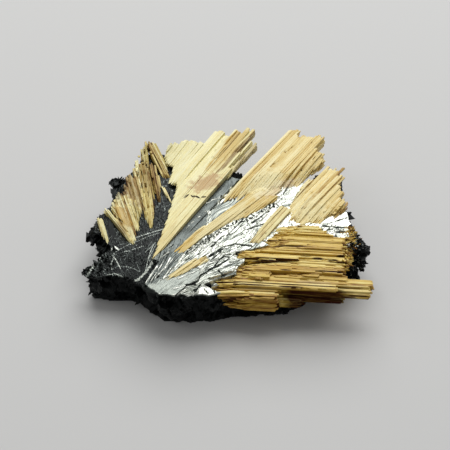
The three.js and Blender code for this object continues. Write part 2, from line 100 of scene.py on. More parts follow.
def add_world():
    world = bpy.data.worlds.new("studio")
    bpy.context.scene.world = world
    world.use_nodes = True
    background = world.node_tree.nodes["Background"]
    background.inputs["Color"].default_value = (SKY_GREY, SKY_GREY, SKY_GREY, 1)
    background.inputs["Strength"].default_value = SKY_STRENGTH


def add_floor():
    half = FLOOR_SIZE / 2 * MM
    corners = [(-half, -half, 0), (half, -half, 0), (half, half, 0), (-half, half, 0)]
    mesh = bpy.data.meshes.new("floor")
    mesh.from_pydata(corners, [], [(0, 1, 2, 3)])
    floor = bpy.data.objects.new("floor", mesh)
    bpy.context.scene.collection.objects.link(floor)
    mesh.materials.append(Shader("floor").principled(base=FLOOR_COLOUR, roughness=0.8))


# ------------ materials
BLOT_SOFTNESS = 0.5  # how wide a patch's soft border is, as a share of its reach


class Shader:
    """A node material that is written from left to right, by methods that hand on sockets."""

    def __init__(self, name):
        self.material = bpy.data.materials.new(name)
        self.material.use_nodes = True
        self.tree = self.material.node_tree
        self.bsdf = self.tree.nodes["Principled BSDF"]

    def node(self, kind, inputs=(), **settings):
        node = self.tree.nodes.new(kind)
        for key, value in settings.items():
            setattr(node, key, value)
        for key, value in dict(inputs).items():
            self.feed(node.inputs[key], value)
        return node

    def feed(self, socket, value):
        if isinstance(value, bpy.types.NodeSocket):
            self.tree.links.new(value, socket)
        elif socket.type == "RGBA" and len(value) == 3:
            socket.default_value = (*value, 1)
        else:
            socket.default_value = value

    def attribute(self, name, output="Fac"):
        """What the mesh says about itself at each point, as one number or as a vector."""
        return self.node("ShaderNodeAttribute", attribute_name=name).outputs[output]

    def place(self):
        """The place on the object in millimetres."""
        coordinates = self.node("ShaderNodeTexCoord").outputs["Object"]
        return self.stretched(coordinates, (1 / MM,) * 3)

    def height(self):
        """The height on the object in metres."""
        coordinates = self.node("ShaderNodeTexCoord").outputs["Object"]
        return self.node("ShaderNodeSeparateXYZ", {0: coordinates}).outputs["Z"]

    def stretched(self, vector, scale, turn=0.0):
        """A place scaled along each axis, then turned about the vertical."""
        inputs = {"Vector": vector, "Scale": scale, "Rotation": (0, 0, math.radians(turn))}
        return self.node("ShaderNodeMapping", inputs).outputs[0]

    def math(self, operation, a, b=0.0, clamp=False):
        node = self.node("ShaderNodeMath", {0: a, 1: b}, operation=operation, use_clamp=clamp)
        return node.outputs[0]

    def ranged(self, value, low, high, to_low=0.0, to_high=1.0):
        """A value brought from one range to another and kept inside it."""
        inputs = {"Value": value, "From Min": low, "From Max": high,
                  "To Min": to_low, "To Max": to_high}
        return self.node("ShaderNodeMapRange", inputs).outputs[0]

    def noise(self, vector, scale, detail=3.0, rough=0.5):
        inputs = {"Vector": vector, "Scale": scale, "Detail": detail, "Roughness": rough}
        return self.node("ShaderNodeTexNoise", inputs).outputs["Fac"]

    def mix(self, share, one, other):
        node = self.node("ShaderNodeMix", data_type="RGBA", blend_type="MIX")
        for index, value in ((0, share), (6, one), (7, other)):
            self.feed(node.inputs[index], value)
        return node.outputs[2]

    def ramp(self, value, stops):
        node = self.node("ShaderNodeValToRGB", {"Fac": value})
        elements = node.color_ramp.elements
        while len(elements) < len(stops):
            elements.new(0.5)
        for element, (position, colour) in zip(elements, stops):
            element.position = position
            element.color = (*colour, 1)
        return node.outputs["Color"]

    def blot(self, place, border, centre, reach, turn=0.0, wander=0.5):
        """A patch: 1 inside an ellipse about a centre in plan, 0 outside.

        Its border is ragged by a noise in the border's own space.
        """
        ends = {0: place, 1: (*centre, 0)}
        offset = self.node("ShaderNodeVectorMath", ends, operation="SUBTRACT").outputs[0]
        local = self.stretched(offset, (1, 1, 0), -turn)
        flat = self.stretched(local, (1 / reach[0], 1 / reach[1], 0))
        far = self.node("ShaderNodeVectorMath", {0: flat}, operation="LENGTH").outputs["Value"]
        ragged = self.ranged(self.noise(border, 1.1), 0.25, 0.75, -wander, wander)
        ragged = self.math("ADD", far, ragged)
        return self.ranged(ragged, 1 + BLOT_SOFTNESS / 2, 1 - BLOT_SOFTNESS / 2)

    def bump(self, height, strength, distance, normal=None):
        inputs = {"Height": height, "Strength": strength, "Distance": distance * MM}
        if normal is not None:
            inputs["Normal"] = normal
        return self.node("ShaderNodeBump", inputs).outputs[0]

    def principled(self, **values):
        names = {"base": "Base Color", "roughness": "Roughness", "metallic": "Metallic",
                 "normal": "Normal", "specular": "Specular IOR Level"}
        for key, value in values.items():
            self.feed(self.bsdf.inputs[names[key]], value)
        return self.material


# ------------ meshes
class Bodies:
    """Closed bodies gathered into one mesh, each with a tone and a grain.

    The grain is a body's own coordinates: u along it, v and w across it.
    """

    def __init__(self):
        self.points, self.faces, self.tones, self.grains = [], [], [], []
        self.count = 0

    def add(self, points, faces, tone, grain=None):
        points = np.asarray(points, float)
        self.points.append(points)
        self.faces.extend([self.count + i for i in face] for face in faces)
        self.tones.append(np.full(len(points), tone) if np.isscalar(tone) else np.asarray(tone))
        self.grains.append(points if grain is None else np.asarray(grain))
        self.count += len(points)

    def made(self, name, material, slot, nodes=()):
        mesh = bpy.data.meshes.new(name)
        mesh.from_pydata((np.vstack(self.points) * MM).tolist(), [], self.faces)
        write_attribute(mesh, "tone", np.concatenate(self.tones))
        write_vectors(mesh, "grain", np.vstack(self.grains))
        return as_piece(mesh, name, material, slot, nodes)


def write_attribute(mesh, name, values):
    attribute = mesh.attributes.new(name, "FLOAT", "POINT")
    attribute.data.foreach_set("value", np.asarray(values, np.float32))


def write_vectors(mesh, name, values):
    attribute = mesh.attributes.new(name, "FLOAT_VECTOR", "POINT")
    attribute.data.foreach_set("vector", values.astype(np.float32).ravel())


def as_piece(mesh, name, material, slot, nodes=()):
    """A mesh as a piece of the object that rides on its only body and may stand for CAD nodes."""
    mesh.materials.clear()
    mesh.materials.append(material)
    piece = bpy.data.objects.new(name, mesh)
    bpy.context.scene.collection.objects.link(piece)
    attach(piece, "root")
    if nodes:
        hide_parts(*nodes)
    return piece


def tree_of(node):
    """A ray-casting tree of a CAD node, in millimetres."""
    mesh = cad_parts[node].data
    points = [v.co / MM for v in mesh.vertices]
    return BVHTree.FromPolygons(points, [tuple(p.vertices) for p in mesh.polygons])


def hit_below(tree, x, y, height):
    """The place where a ray that falls from a height meets a mesh, or None."""
    return tree.ray_cast(Vector((x, y, height)), Vector((0, 0, -1)))[0]


def spans_inside(tree, start, direction, reach):
    """The stretches [enter, leave] of a line that lie inside a closed mesh."""
    spans, enter, gone = [], None, 0.0
    while gone < reach:
        hit, normal, _, distance = tree.ray_cast(start + direction * gone, direction, reach - gone)
        if hit is None:
            break
        gone += distance
        if normal.dot(direction) < 0:
            enter = gone if enter is None else enter
        elif enter is not None:
            spans.append((enter, gone))
            enter = None
        gone += 1e-4
    return spans


# ------------ rutile needles
SAMPLE = 0.5  # how finely a fan's upper face is followed along a needle
SHORTEST_NEEDLE = 0.35
BLUNT = 0.2  # a needle's root as a share of its width
SIDE_LAP, LAP = 1.04, 1.05  # a needle's width and height over its room, so that neighbours lap
STEP = 0.22  # a rise between two samples that parts one needle from the next
# A needle's section as shares of its width and height: flat top, bevelled shoulders, sloping sides.
SECTION = [(-0.5, 0.5), (0.5, 0.5), (0.54, 0.3), (0.46, -0.5), (-0.46, -0.5), (-0.54, 0.3)]
SIDES = len(SECTION)
# How a fan's needles look where the fan says nothing else: lengths in mm, tones and chances as
# shares. shades lists the widths and tones of columns from the left edge, and slots the open
# gaps: v from, v to, u from.
LOOK = dict(lift=0.0, pitch=0.2, base=0.6, contrast=0.3, relief=0.03, roll=0.05, column=(0.5, 1.5),
            grooves=0.06, groove_painted_shade=0.45, groove_depth=0.08, breaks=0.1, gap=1.5,
            root_ragged=(0, 0.5), tip_ragged=0.4, overhang=0.0, bevel=0.07, lead=(0.3, 1.2),
            shades=(), slots=())


class Fan:
    """A packed fan's solid, and the frame of its needles: u along them, v across them and w up."""

    def __init__(self, node, look):
        self.tree = tree_of(node)
        turn, lift = math.radians(look["direction"]), math.radians(look["lift"])
        level = math.cos(lift)
        self.along = Vector((math.cos(turn) * level, math.sin(turn) * level, math.sin(lift)))
        self.across = Vector((-math.sin(turn), math.cos(turn), 0))
        self.up = self.along.cross(self.across)
        corners = [v.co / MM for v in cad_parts[node].data.vertices]
        reaches = [[c.dot(axis) for c in corners] for axis in (self.along, self.across, self.up)]
        (self.u_low, self.v_low, self.w_low), (self.u_high, self.v_high, self.w_high) = (
            [end(values) for values in reaches] for end in (min, max))

    def at(self, u, v, w):
        return self.along * u + self.across * v + self.up * w

    def top(self, u, v):
        """The height of the solid's upper face, or None beside it."""
        hit = self.tree.ray_cast(self.at(u, v, self.w_high + 1), -self.up)[0]
        return None if hit is None else hit.dot(self.up)

    def lead_in(self, first, v, reach, plate):
        """Where on the plate a needle whose root stands proud of it starts to rise, or None."""
        root, foot = self.at(first[0], v, first[1]), self.at(first[0] - reach, v, first[1])
        hit = hit_below(plate, foot.x, foot.y, PLATE_TOP + 6)
        if hit is None or not 0.12 < root.z - hit.z < 1.2 * reach or hit.z > foot.z:
            return None
        return first[0] - reach, first[1] - (root.z - hit.z) + 0.03

    def runs_on_top(self, v, belongs):
        """The stretches of the upper face under a line of constant v, each a list of (u, w)."""
        runs, run = [], []
        for u in np.arange(self.u_low - SAMPLE, self.u_high + SAMPLE, SAMPLE):
            w = self.top(u, v)
            place = self.at(u, v, 0)
            if w is not None and belongs is not None and not belongs(place.x, place.y):
                w = None
            if w is None or (run and abs(w - run[-1][1]) > STEP):
                runs.append(run)
                run = []
            if w is not None:
                run.append((u, w))
        return [run for run in [*runs, run] if len(run) > 1]

    def runs_inside(self, v, w, belongs):
        """The stretches [enter, leave] of a line along the needles that lie inside the solid."""
        start, reach = self.at(self.u_low - 1, v, w), self.u_high - self.u_low + 2
        for enter, leave in spans_inside(self.tree, start, self.along, reach):
            if belongs is None:
                yield self.u_low - 1 + enter, self.u_low - 1 + leave
                continue
            steps = np.linspace(enter, leave, max(2, int((leave - enter) / SAMPLE) + 1))
            kept = [u for u in steps if belongs(*(start + self.along * u).xy)]
            if kept:
                yield self.u_low - 1 + kept[0], self.u_low - 1 + kept[-1]


def needle(bodies, fan, v, path, wide, tall, tone, roll, bevel, chance):
    """One six-sided needle along a path of (u, w), with a narrow root and a tip cut aslant."""
    slant_v, slant_w = chance.uniform(-0.7, 0.7), chance.uniform(-0.1, 0.5)
    rim = []
    for p, q in SECTION:
        p *= 1 - 2 * bevel if q == 0.5 else 1
        p, q = wide * (p + chance.uniform(-0.03, 0.03)), tall * (q - 0.5)
        rim.append((p - roll * (q + tall / 2), q + roll * p))
    (root, root_w), length = path[0], path[-1][0] - path[0][0]
    taper = min(length * 0.45, chance.uniform(0.3, 1.2))
    middle_w = np.interp(root + taper, *zip(*path))
    rings = [[(root, v + p * BLUNT, root_w + q * 0.5) for p, q in rim]]
    rings.append([(root + taper, v + p, middle_w + q) for p, q in rim])
    rings += [[(u, v + p, w + q) for p, q in rim] for u, w in path[1:-1] if u > root + taper + 0.1]
    end, end_w = path[-1]
    lowest = rings[-1][0][0] + 0.05
    cut = [max(lowest, end - max(0.0, slant_v * p - slant_w * q)) for p, q in rim]
    rings.append([(u, v + p, end_w + q) for u, (p, q) in zip(cut, rim)])
    local = [point for ring in rings for point in ring]
    last = (len(rings) - 1) * SIDES
    faces = [list(range(SIDES)), [last + SIDES - 1 - k for k in range(SIDES)]]
    for ring in range(0, last, SIDES):
        for k in range(SIDES):
            after = (k + 1) % SIDES
            faces.append([ring + k, ring + SIDES + k, ring + SIDES + after, ring + after])
    drift = chance.uniform(0, 50)
    points = [tuple(fan.at(*point)) for point in local]
    bodies.add(points, faces, tone, [(u + drift, a + drift, b) for u, a, b in local])


def trimmed(run, start, end):
    """The part of a path between two places along it, with few points left where it is straight."""
    places, heights = zip(*run)
    inner = [u for u in places[1:-1] if start + 0.3 < u < end - 0.3]
    path = [(u, float(np.interp(u, places, heights))) for u in (start, *inner, end)]
    kept = [path[0]]
    for point, other in zip(path[1:], path[2:]):
        share = (point[0] - kept[-1][0]) / (other[0] - kept[-1][0])
        if abs(kept[-1][1] + (other[1] - kept[-1][1]) * share - point[1]) > 0.012:
            kept.append(point)
    return [*kept, path[-1]]


def broken(first, last, look, chance):
    """A needle's reach, which may be broken here and there with a short gap between two parts."""
    length = last - first
    if length < 3 or chance.random() > look["breaks"]:
        return [(first, last)]
    cut = first + length * chance.uniform(0.15, 0.85)
    gap = chance.uniform(0.1, look["gap"])
    return broken(first, cut - gap / 2, look, chance) + broken(cut + gap / 2, last, look, chance)


def fill_with_needles(bodies, node, look, belongs=None):
    """Builds a CAD solid anew from parallel needles.

    Long ones follow its top and short layers fill the space under them. They grow in columns that
    share a shade, a height and a slight roll.
    """
    look = {**LOOK, **look}
    chance = random.Random(look["seed"])
    fan = Fan(node, look)
    plate = tree_of("hematite_plate")
    pitch, contrast, bevel = look["pitch"], look["contrast"], look["bevel"]
    edges = np.cumsum([0, *(width for width, _ in look["shades"])])
    v = column_end = fan.v_low
    while v < fan.v_high:
        if v >= column_end:
            column_end = v + chance.uniform(*look["column"])
            column = (chance.uniform(-1, 1), chance.uniform(0, look["relief"]),
                      chance.gauss(0, look["roll"]))
        groove = chance.random() < look["grooves"]
        wide = pitch * (chance.uniform(0.3, 0.5) if groove else math.exp(chance.uniform(-0.7, 0.8)))
        lapped = wide * SIDE_LAP
        v += wide / 2
        tone = look["base"] + contrast * (0.6 * column[0] + chance.uniform(-0.35, 0.35))
        if len(edges) > 1 and fan.v_high - v < edges[-1]:
            shade = look["shades"][int(np.searchsorted(edges, fan.v_high - v, "right")) - 1][1]
            tone = shade + contrast * chance.uniform(-0.3, 0.3)
        # grooves are painted darker, as shade in the narrow gaps between needles
        tone = tone * look["groove_painted_shade"] if groove else tone
        own = look["groove_depth"] if groove else chance.uniform(0, look["relief"] * 0.5)
        sunk = column[1] + own
        roll = column[2] + chance.gauss(0, look["roll"] * 0.5)
        slots = [start for low, high, start in look["slots"] if low < v < high]
        open_from = min(slots, default=fan.u_high + 1)
        for run in fan.runs_on_top(v, belongs):
            run = [(u, w) for u, w in run if u < open_from]
            if len(run) < 2:
                continue
            first = run[0][0] - SAMPLE / 2 + chance.uniform(*look["root_ragged"])
            last = run[-1][0] + SAMPLE / 2 + look["overhang"]
            last -= chance.uniform(0, look["tip_ragged"])
            for one, other in broken(first, last, look, chance):
                if other - one > SHORTEST_NEEDLE:
                    path = [(u, w - sunk) for u, w in trimmed(run, one, other)]
                    lead = None
                    if one == first:
                        lead = fan.lead_in(path[0], v, chance.uniform(*look["lead"]), plate)
                    path = [lead, *path] if lead else path
                    needle(bodies, fan, v, path, lapped, pitch * 1.6, tone, roll, bevel, chance)
        w = fan.w_high - chance.uniform(0.3, 1) * pitch
        while w > fan.w_low:
            layer = pitch * chance.uniform(1.0, 1.6)
            for first, last in fan.runs_inside(v, w + 0.06, belongs):
                first += chance.uniform(*look["root_ragged"])
                last = min(last, open_from) - chance.uniform(0, look["tip_ragged"])
                if last - first > SHORTEST_NEEDLE:
                    # the needles under the top layer are painted a little darker, as shade beneath
                    # it
                    under = tone - chance.uniform(0, contrast * 0.5)
                    path = [(first, w), (last, w)]
                    needle(bodies, fan, v, path, lapped, layer * LAP, under, roll, bevel, chance)
            w -= layer
        v += wide / 2


def rutile(name, stops, patches=(), flecks=0.5, recess_painted_shade=None):
    """Striated silky rutile: a colour for each tone, streaks along the grain, flecks and stains.
    Some patches are painted shade, and a given recess gets painted shade under the layer above.
    """
    shader = Shader(name)
    grain = shader.attribute("grain", "Vector")
    place = shader.place()
    streak = shader.noise(shader.stretched(grain, (0.22, 5.0, 5.0)), 1.0, 4.0, 0.6)
    flow = shader.noise(shader.stretched(grain, (0.5, 1.2, 1.2)), 1.0, 2.0)
    tone = shader.attribute("tone")
    tone = shader.math("ADD", tone, shader.ranged(streak, 0.2, 0.8, -0.36, 0.36))
    tone = shader.math("ADD", tone, shader.ranged(flow, 0.25, 0.75, -0.14, 0.14))
    gloss = shader.ranged(tone, 0.0, 0.5, 0.08, 0.5)
    colour = shader.ramp(tone, stops)
    needles = shader.stretched(grain, (0.25, 0.9, 0.9))
    fleck = shader.noise(shader.stretched(grain, (1.1, 7.0, 7.0)), 1.0, 2.0)
    colour = shader.mix(shader.ranged(fleck, 0.64, 0.72, 0, flecks), colour, FLECK)
    for centre, reach, turn, stain, share in patches:
        border = needles if reach[0] > 3 * reach[1] else place
        blot = shader.blot(place, border, centre, reach, turn)
        mottled = shader.math("MULTIPLY", blot, shader.ranged(streak, 0.3, 0.7, share * 0.5, share))
        colour = shader.mix(mottled, colour, stain)
        if max(stain) < 0.7:
            gloss = shader.math("MULTIPLY", gloss, shader.ranged(mottled, 0, 1, 1.0, 0.15))
    # painted shade: needles low in the recess under the layer above turn dark red and lose their
    # gloss
    if recess_painted_shade:
        (centre, reach), height = recess_painted_shade
        low = shader.ranged(shader.height(), height * MM, (height - 0.3) * MM)
        inside = shader.math("MULTIPLY", shader.blot(place, place, centre, reach, 0, 0.12), low)
        lines = shader.ranged(streak, 0.5, 0.72, 1.0, 0.72)
        colour = shader.mix(shader.math("MULTIPLY", inside, lines), colour, DARK_RED)
        gloss = shader.math("SUBTRACT", gloss, inside, clamp=True)
    fine = shader.noise(shader.stretched(grain, (0.4, 14.0, 14.0)), 1.0, 3.0, 0.6)
    normal = shader.bump(fine, 0.5, 0.04)
    rough = shader.ranged(streak, 0.2, 0.8, 0.32, 0.55)
    return shader.principled(base=colour, roughness=rough, specular=gloss, normal=normal)


def ramp_stops(*colours):
    """A colour ramp's stops for needles, from the dark tones of their roots and of the painted shade
    in grooves to their bright tops.
    """
    return list(zip((0.0, 0.2, 0.4, 0.7, 1.0), colours))


STRAW = ramp_stops((0.16, 0.08, 0.03), (0.50, 0.33, 0.11), (0.78, 0.65, 0.28), (0.88, 0.81, 0.41),
                   (0.95, 0.91, 0.58))
GOLD = ramp_stops((0.09, 0.035, 0.008), (0.40, 0.22, 0.04), (0.64, 0.44, 0.10), (0.80, 0.63, 0.23),
                  (0.93, 0.82, 0.44))
DEEP = ramp_stops((0.05, 0.014, 0.003), (0.26, 0.11, 0.012), (0.51, 0.31, 0.035),
                  (0.74, 0.52, 0.085), (0.92, 0.77, 0.28))
OLIVE = ramp_stops((0.06, 0.02, 0.006), (0.30, 0.17, 0.035), (0.56, 0.42, 0.11),
                   (0.80, 0.69, 0.27), (0.95, 0.90, 0.52))
STAIN = (0.52, 0.30, 0.15)
FLECK = (0.30, 0.15, 0.05)
AMBER = (0.62, 0.36, 0.05)
TAN = (0.66, 0.46, 0.14)
PALE_UMBER = (0.46, 0.35, 0.19)
INK = (0.03, 0.018, 0.01)
UMBER = (0.20, 0.09, 0.02)
DARK_RED = (0.04, 0.010, 0.006)
ROSE = (0.80, 0.70, 0.60)
PALE = (0.90, 0.82, 0.46)


# Painted shadow lines along the needles of the front bundle, where each layer's edge shades the one
# below: their middles and reaches.
PAINTED_SHADOW_LINES = [((6.7, -11.4), (2.6, 0.17)), ((16.9, -13.65), (2.1, 0.17)), ((3.4, -15.95), (3.0, 0.15)),
          ((10.2, -16.4), (1.6, 0.14)), ((9.3, -13.3), (1.0, 0.15)), ((14.6, -10.9), (0.9, 0.2)),
          ((16.9, -11.35), (0.8, 0.2)), ((12.55, -10.4), (0.8, 0.16)), ((18.3, -10.5), (0.7, 0.2)),
          ((10.2, -8.45), (3.2, 0.14))]


def above_line(one, other):
    """A test for the points of the plan that lie to the left of a line."""
    (x0, y0), (x1, y1) = one, other
    return lambda x, y: (x1 - x0) * (y - y0) - (y1 - y0) * (x - x0) > 0


# The middle line of each leaf of the left spray, from root to tip.
LEAF_AXES = [
    ((-15.3, -6.6), (-18.4, 3.0)), ((-14.6, 0.4), (-16.6, 8.0)), ((-12.6, -3.4), (-14.3, 10.5)),
    ((-11.6, 3.0), (-12.9, 10.4)), ((-13.9, 10.2), (-14.2, 15.2)), ((-10.3, 8.4), (-13.3, 14.9)),
    ((-15.6, -6.9), (-20.2, 0.2)),
]


def add_fans():
    straw = rutile("rutile_straw_pale", STRAW, [
        ((-3.6, 5.2), (2.7, 1.7), 25, STAIN, 0.9), ((0.6, 13.6), (6.4, 1.15), 59, TAN, 0.95),
        # the umber streaks beside and below the golden rod are painted shade on its rounded side and
        # at its lower end
        ((1.8, 12.7), (6.2, 0.42), 57, UMBER, 0.9), ((-1.7, 7.7), (0.8, 0.25), 57, UMBER, 0.8),
        ((0.9, 14.9), (3.2, 0.12), 59, UMBER, 0.6), ((-0.6, 13.5), (5.5, 0.14), 59, AMBER, 0.7),
        ((3.5, 12.2), (4.2, 0.5), 57, PALE_UMBER, 0.8),
        ((-10.2, -7.5), (5.0, 1.2), 57, AMBER, 0.25),
        ((-6.8, 2.4), (0.55, 0.17), 49, INK, 2.0), ((-5.95, 2.35), (0.35, 0.14), -50, INK, 2.0),
        ((-5.1, 2.0), (0.55, 0.17), -33, INK, 2.0), ((-4.0, 2.0), (0.4, 0.15), 9, INK, 2.0),
    ], flecks=0.25)
    gold = rutile("rutile_gold", GOLD, [
        ((-7.0, -7.2), (3.6, 1.2), 46, AMBER, 0.3), ((8.6, 4.4), (3.4, 1.3), 25, ROSE, 0.5),
        ((20.6, 0.6), (1.3, 0.9), 50, STAIN, 0.7),
        ((13.4, -0.4), (3.2, 2.4), 40, PALE, 0.65), ((6.4, 5.6), (3.4, 2.0), 50, PALE, 0.8),
        ((-1.0, -3.4), (6.5, 1.4), 46, PALE, 0.7),
    ])
    deep = rutile("rutile_deep", DEEP, [
        ((20.6, -16.8), (3.0, 0.7), -4, PALE, 0.4), ((9.2, -12.6), (2.8, 0.9), -4, AMBER, 0.4),
        ((14.0, -15.8), (2.9, 0.7), -4, PALE, 0.3), ((5.2, -15.9), (3.4, 0.7), -4, PALE, 0.25),
        # painted shadow lines under the layers' edges
        *((centre, reach, -4, DARK_RED, 1.3) for centre, reach in PAINTED_SHADOW_LINES),
    ], recess_painted_shade=(((13.9, -17.1), (5.3, 1.8)), 7.3))
    spray = rutile("rutile_spray", OLIVE, [
        ((-18.0, 4.6), (2.2, 1.4), 100, DARK_RED, 1.0),
        ((-16.0, 4.6), (3.6, 1.5), 104, FLECK, 0.75),
        ((-13.9, 7.5), (4.0, 0.9), 100, UMBER, 0.6), ((-17.2, -1.6), (2.6, 1.0), 115, AMBER, 0.7),
        ((-16.8, -2.6), (3.6, 1.6), 110, FLECK, 0.3), ((-17.4, -4.3), (1.7, 0.4), 123, UMBER, 0.6),
    ], flecks=0.7)

    plain = [
        ("rutile_fan_back", straw, "rutile_pale",
         dict(direction=57, lift=1.3, seed=11, relief=0.01, roll=0.02, grooves=0.02, contrast=0.14,
              column=(0.8, 2.4), groove_depth=0.03, bevel=0.01, lead=(0.05, 0.2), breaks=0.03,
              root_ragged=(0, 0.12), tip_ragged=0.15,
              slots=[(8.5, 9.6, 13.6), (4.92, 5.12, 9.5), (4.25, 4.5, 8.4), (3.95, 4.25, 10.0)],
              shades=[(3.0, 0.74), (2.2, 0.8), (1.5, 0.7), (2.6, 0.76), (1.0, 0.62), (0.3, 0.4),
                      (1.0, 0.66)])),
        ("rutile_fan_right", gold, "rutile_straw",
         dict(direction=52, lift=1.1, seed=31, contrast=0.5, column=(0.3, 1.0), overhang=0.9,
              tip_ragged=1.0, root_ragged=(-1.3, 1.0), lead=(0.3, 2.0), bevel=0.03,
              shades=[(0.6, 0.9), (0.8, 0.55), (1.4, 0.76), (0.4, 0.45), (1.6, 0.7), (1.0, 0.78),
                      (0.5, 0.45), (0.8, 0.8)])),
        ("rutile_blade_middle", straw, "rutile_straw",
         dict(direction=54, pitch=0.16, seed=37, bevel=0.02, contrast=0.5, shades=[(4.0, 0.48)])),
        ("rutile_blade_inner", gold, "rutile_straw",
         dict(direction=41, pitch=0.13, seed=41, grooves=0.12, column=(0.2, 0.6), tip_ragged=1.8,
              root_ragged=(-0.5, 0.6), shades=[(5.0, 0.85)])),
        ("rutile_blade_left", straw, "rutile_pale", dict(direction=106, pitch=0.15, seed=43)),
        ("rutile_sliver_left", straw, "rutile_pale", dict(direction=111.5, pitch=0.12, seed=47)),
        ("rutile_bundle_front", deep, "rutile_deep",
         dict(direction=-4, pitch=0.19, seed=101, base=0.67, relief=0.1, grooves=0.1, breaks=0.42,
              gap=1.8, contrast=0.42, column=(0.3, 1.1), roll=0.1, groove_painted_shade=0.15,
              groove_depth=0.2, tip_ragged=0.8, root_ragged=(-1.5, 0.4), lead=(0.5, 2.2))),
    ]
    for node, material, slot, look in plain:
        bodies = Bodies()
        fill_with_needles(bodies, node, look)
        bodies.made(node.replace("rutile", "needles"), material, slot, [node])

    node = "rutile_fan_rear_right"
    bodies = Bodies()
    seam = ((0.9, 2.4), (9.2, 4.9))
    columns = dict(direction=53.5, lift=1.4, seed=23, grooves=0.05, contrast=0.3, column=(0.5, 1.4),
                   roll=0.05, root_ragged=(0, 0.4), tip_ragged=0.6, lead=(0.8, 2.2), bevel=0.02,
                   # the thin column at tone 0.05 is painted shade in a groove between columns
                   shades=[(0.3, 1.1), (1.2, 0.56), (0.9, 0.86), (0.15, 0.05), (1.0, 0.62),
                           (0.6, 0.78), (0.25, 0.42), (0.5, 0.74), (0.3, 0.45), (1.6, 0.7),
                           (0.4, 0.55), (2.0, 0.72)])
    fill_with_needles(bodies, node, columns, above_line(*seam))
    band = dict(direction=45, seed=29, contrast=0.3, root_ragged=(-0.3, 0.8), tip_ragged=0.5,
                bevel=0.02, lead=(0.5, 1.5),
                shades=[(1.5, 0.95), (0.3, 0.6), (1.2, 0.8), (0.2, 0.5), (2.0, 0.85)])
    fill_with_needles(bodies, node, band, above_line(*seam[::-1]))
    bodies.made("needles_fan_rear_right", gold, "rutile_straw", [node])

    node = "rutile_spray_left"
    bodies = Bodies()
    for k, (root, tip) in enumerate(LEAF_AXES):
        direction = math.degrees(math.atan2(tip[1] - root[1], tip[0] - root[0]))
        look = dict(direction=direction, lift=3, pitch=0.18, seed=51 + k, relief=0.12, roll=0.12,
                    column=(0.3, 0.9), grooves=0.14, groove_painted_shade=0.2, groove_depth=0.15,
                    contrast=0.6, tip_ragged=1.0)
        fill_with_needles(bodies, node, look, nearest_axis(k))
    bodies.made("needles_spray_left", spray, "rutile_deep", [node])
    add_crumbs(deep)


def nearest_axis(index):
    """A test for the points of the plan that lie nearest to one leaf's middle line."""
    axes = [(np.array(root), np.array(tip)) for root, tip in LEAF_AXES]

    def distance(point, axis):
        root, tip = axis
        run = tip - root
        share = np.clip(np.dot(point - root, run) / np.dot(run, run), 0, 1)
        return np.linalg.norm(point - root - run * share)

    def belongs(x, y):
        point = np.array((x, y))
        return int(np.argmin([distance(point, axis) for axis in axes])) == index

    return belongs


# ------------ hematite
VOXEL = 0.24  # how fine the plate's new mesh is
# Three sizes of chips on the broken wall: the width of a chip, its slope, and the seed.
WALL_CHIPS = [(2.6, 0.26, 4), (1.2, 0.24, 5), (0.6, 0.18, 6)]
RIDGE_SHARE = 0.35  # how much of the solid's coarse ridges the bright face keeps
SUNK = 0.3  # how far the plate's own top lies below the sheets of its faces


def remeshed(node, voxel):
    """A CAD node's form as a new, evenly fine mesh."""
    source = bpy.data.objects.new("remesh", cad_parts[node].data.copy())
    bpy.context.scene.collection.objects.link(source)
    weld = source.modifiers.new("weld", "WELD")
    weld.merge_threshold = 0.002 * MM
    modifier = source.modifiers.new("remesh", "REMESH")
    modifier.mode = "VOXEL"
    modifier.voxel_size = voxel * MM
    graph = bpy.context.evaluated_depsgraph_get()
    fine = bpy.data.meshes.new_from_object(source.evaluated_get(graph))
    bpy.data.objects.remove(source)
    return fine


def vectors_of(collection, key):
    """A mesh's points or normals as an array of rows."""
    values = np.empty(len(collection) * 3, np.float32)
    collection.foreach_get(key, values)
    return values.reshape(-1, 3).astype(float)


def stepped(value, low, high):
    """0 below low, 1 above high, smooth between."""
    share = np.clip((value - low) / (high - low), 0, 1)
    return share * share * (3 - 2 * share)


def search_tree(points):
    """A tree that finds the nearest of some points."""
    tree = KDTree(len(points))
    for i, point in enumerate(points):
        tree.insert(point, i)
    tree.balance()
    return tree


def facet_field(points, spacing, tilt, seed):
    """Chipped relief: scattered seeds share out space, and each one's share is a tilted plane."""
    chance = np.random.default_rng(seed)
    low, high = points.min(0) - spacing, points.max(0) + spacing
    count = int(np.prod((high - low) / spacing))
    seeds = chance.uniform(low, high, (count, 3))
    slopes = chance.normal(0, tilt, (count, 3))
    lifts = chance.uniform(-0.5, 0.5, count) * spacing * tilt
    tree = search_tree(seeds)
    nearest = np.array([tree.find(p)[1] for p in points])
    return ((points - seeds[nearest]) * slopes[nearest]).sum(1) + lifts[nearest]


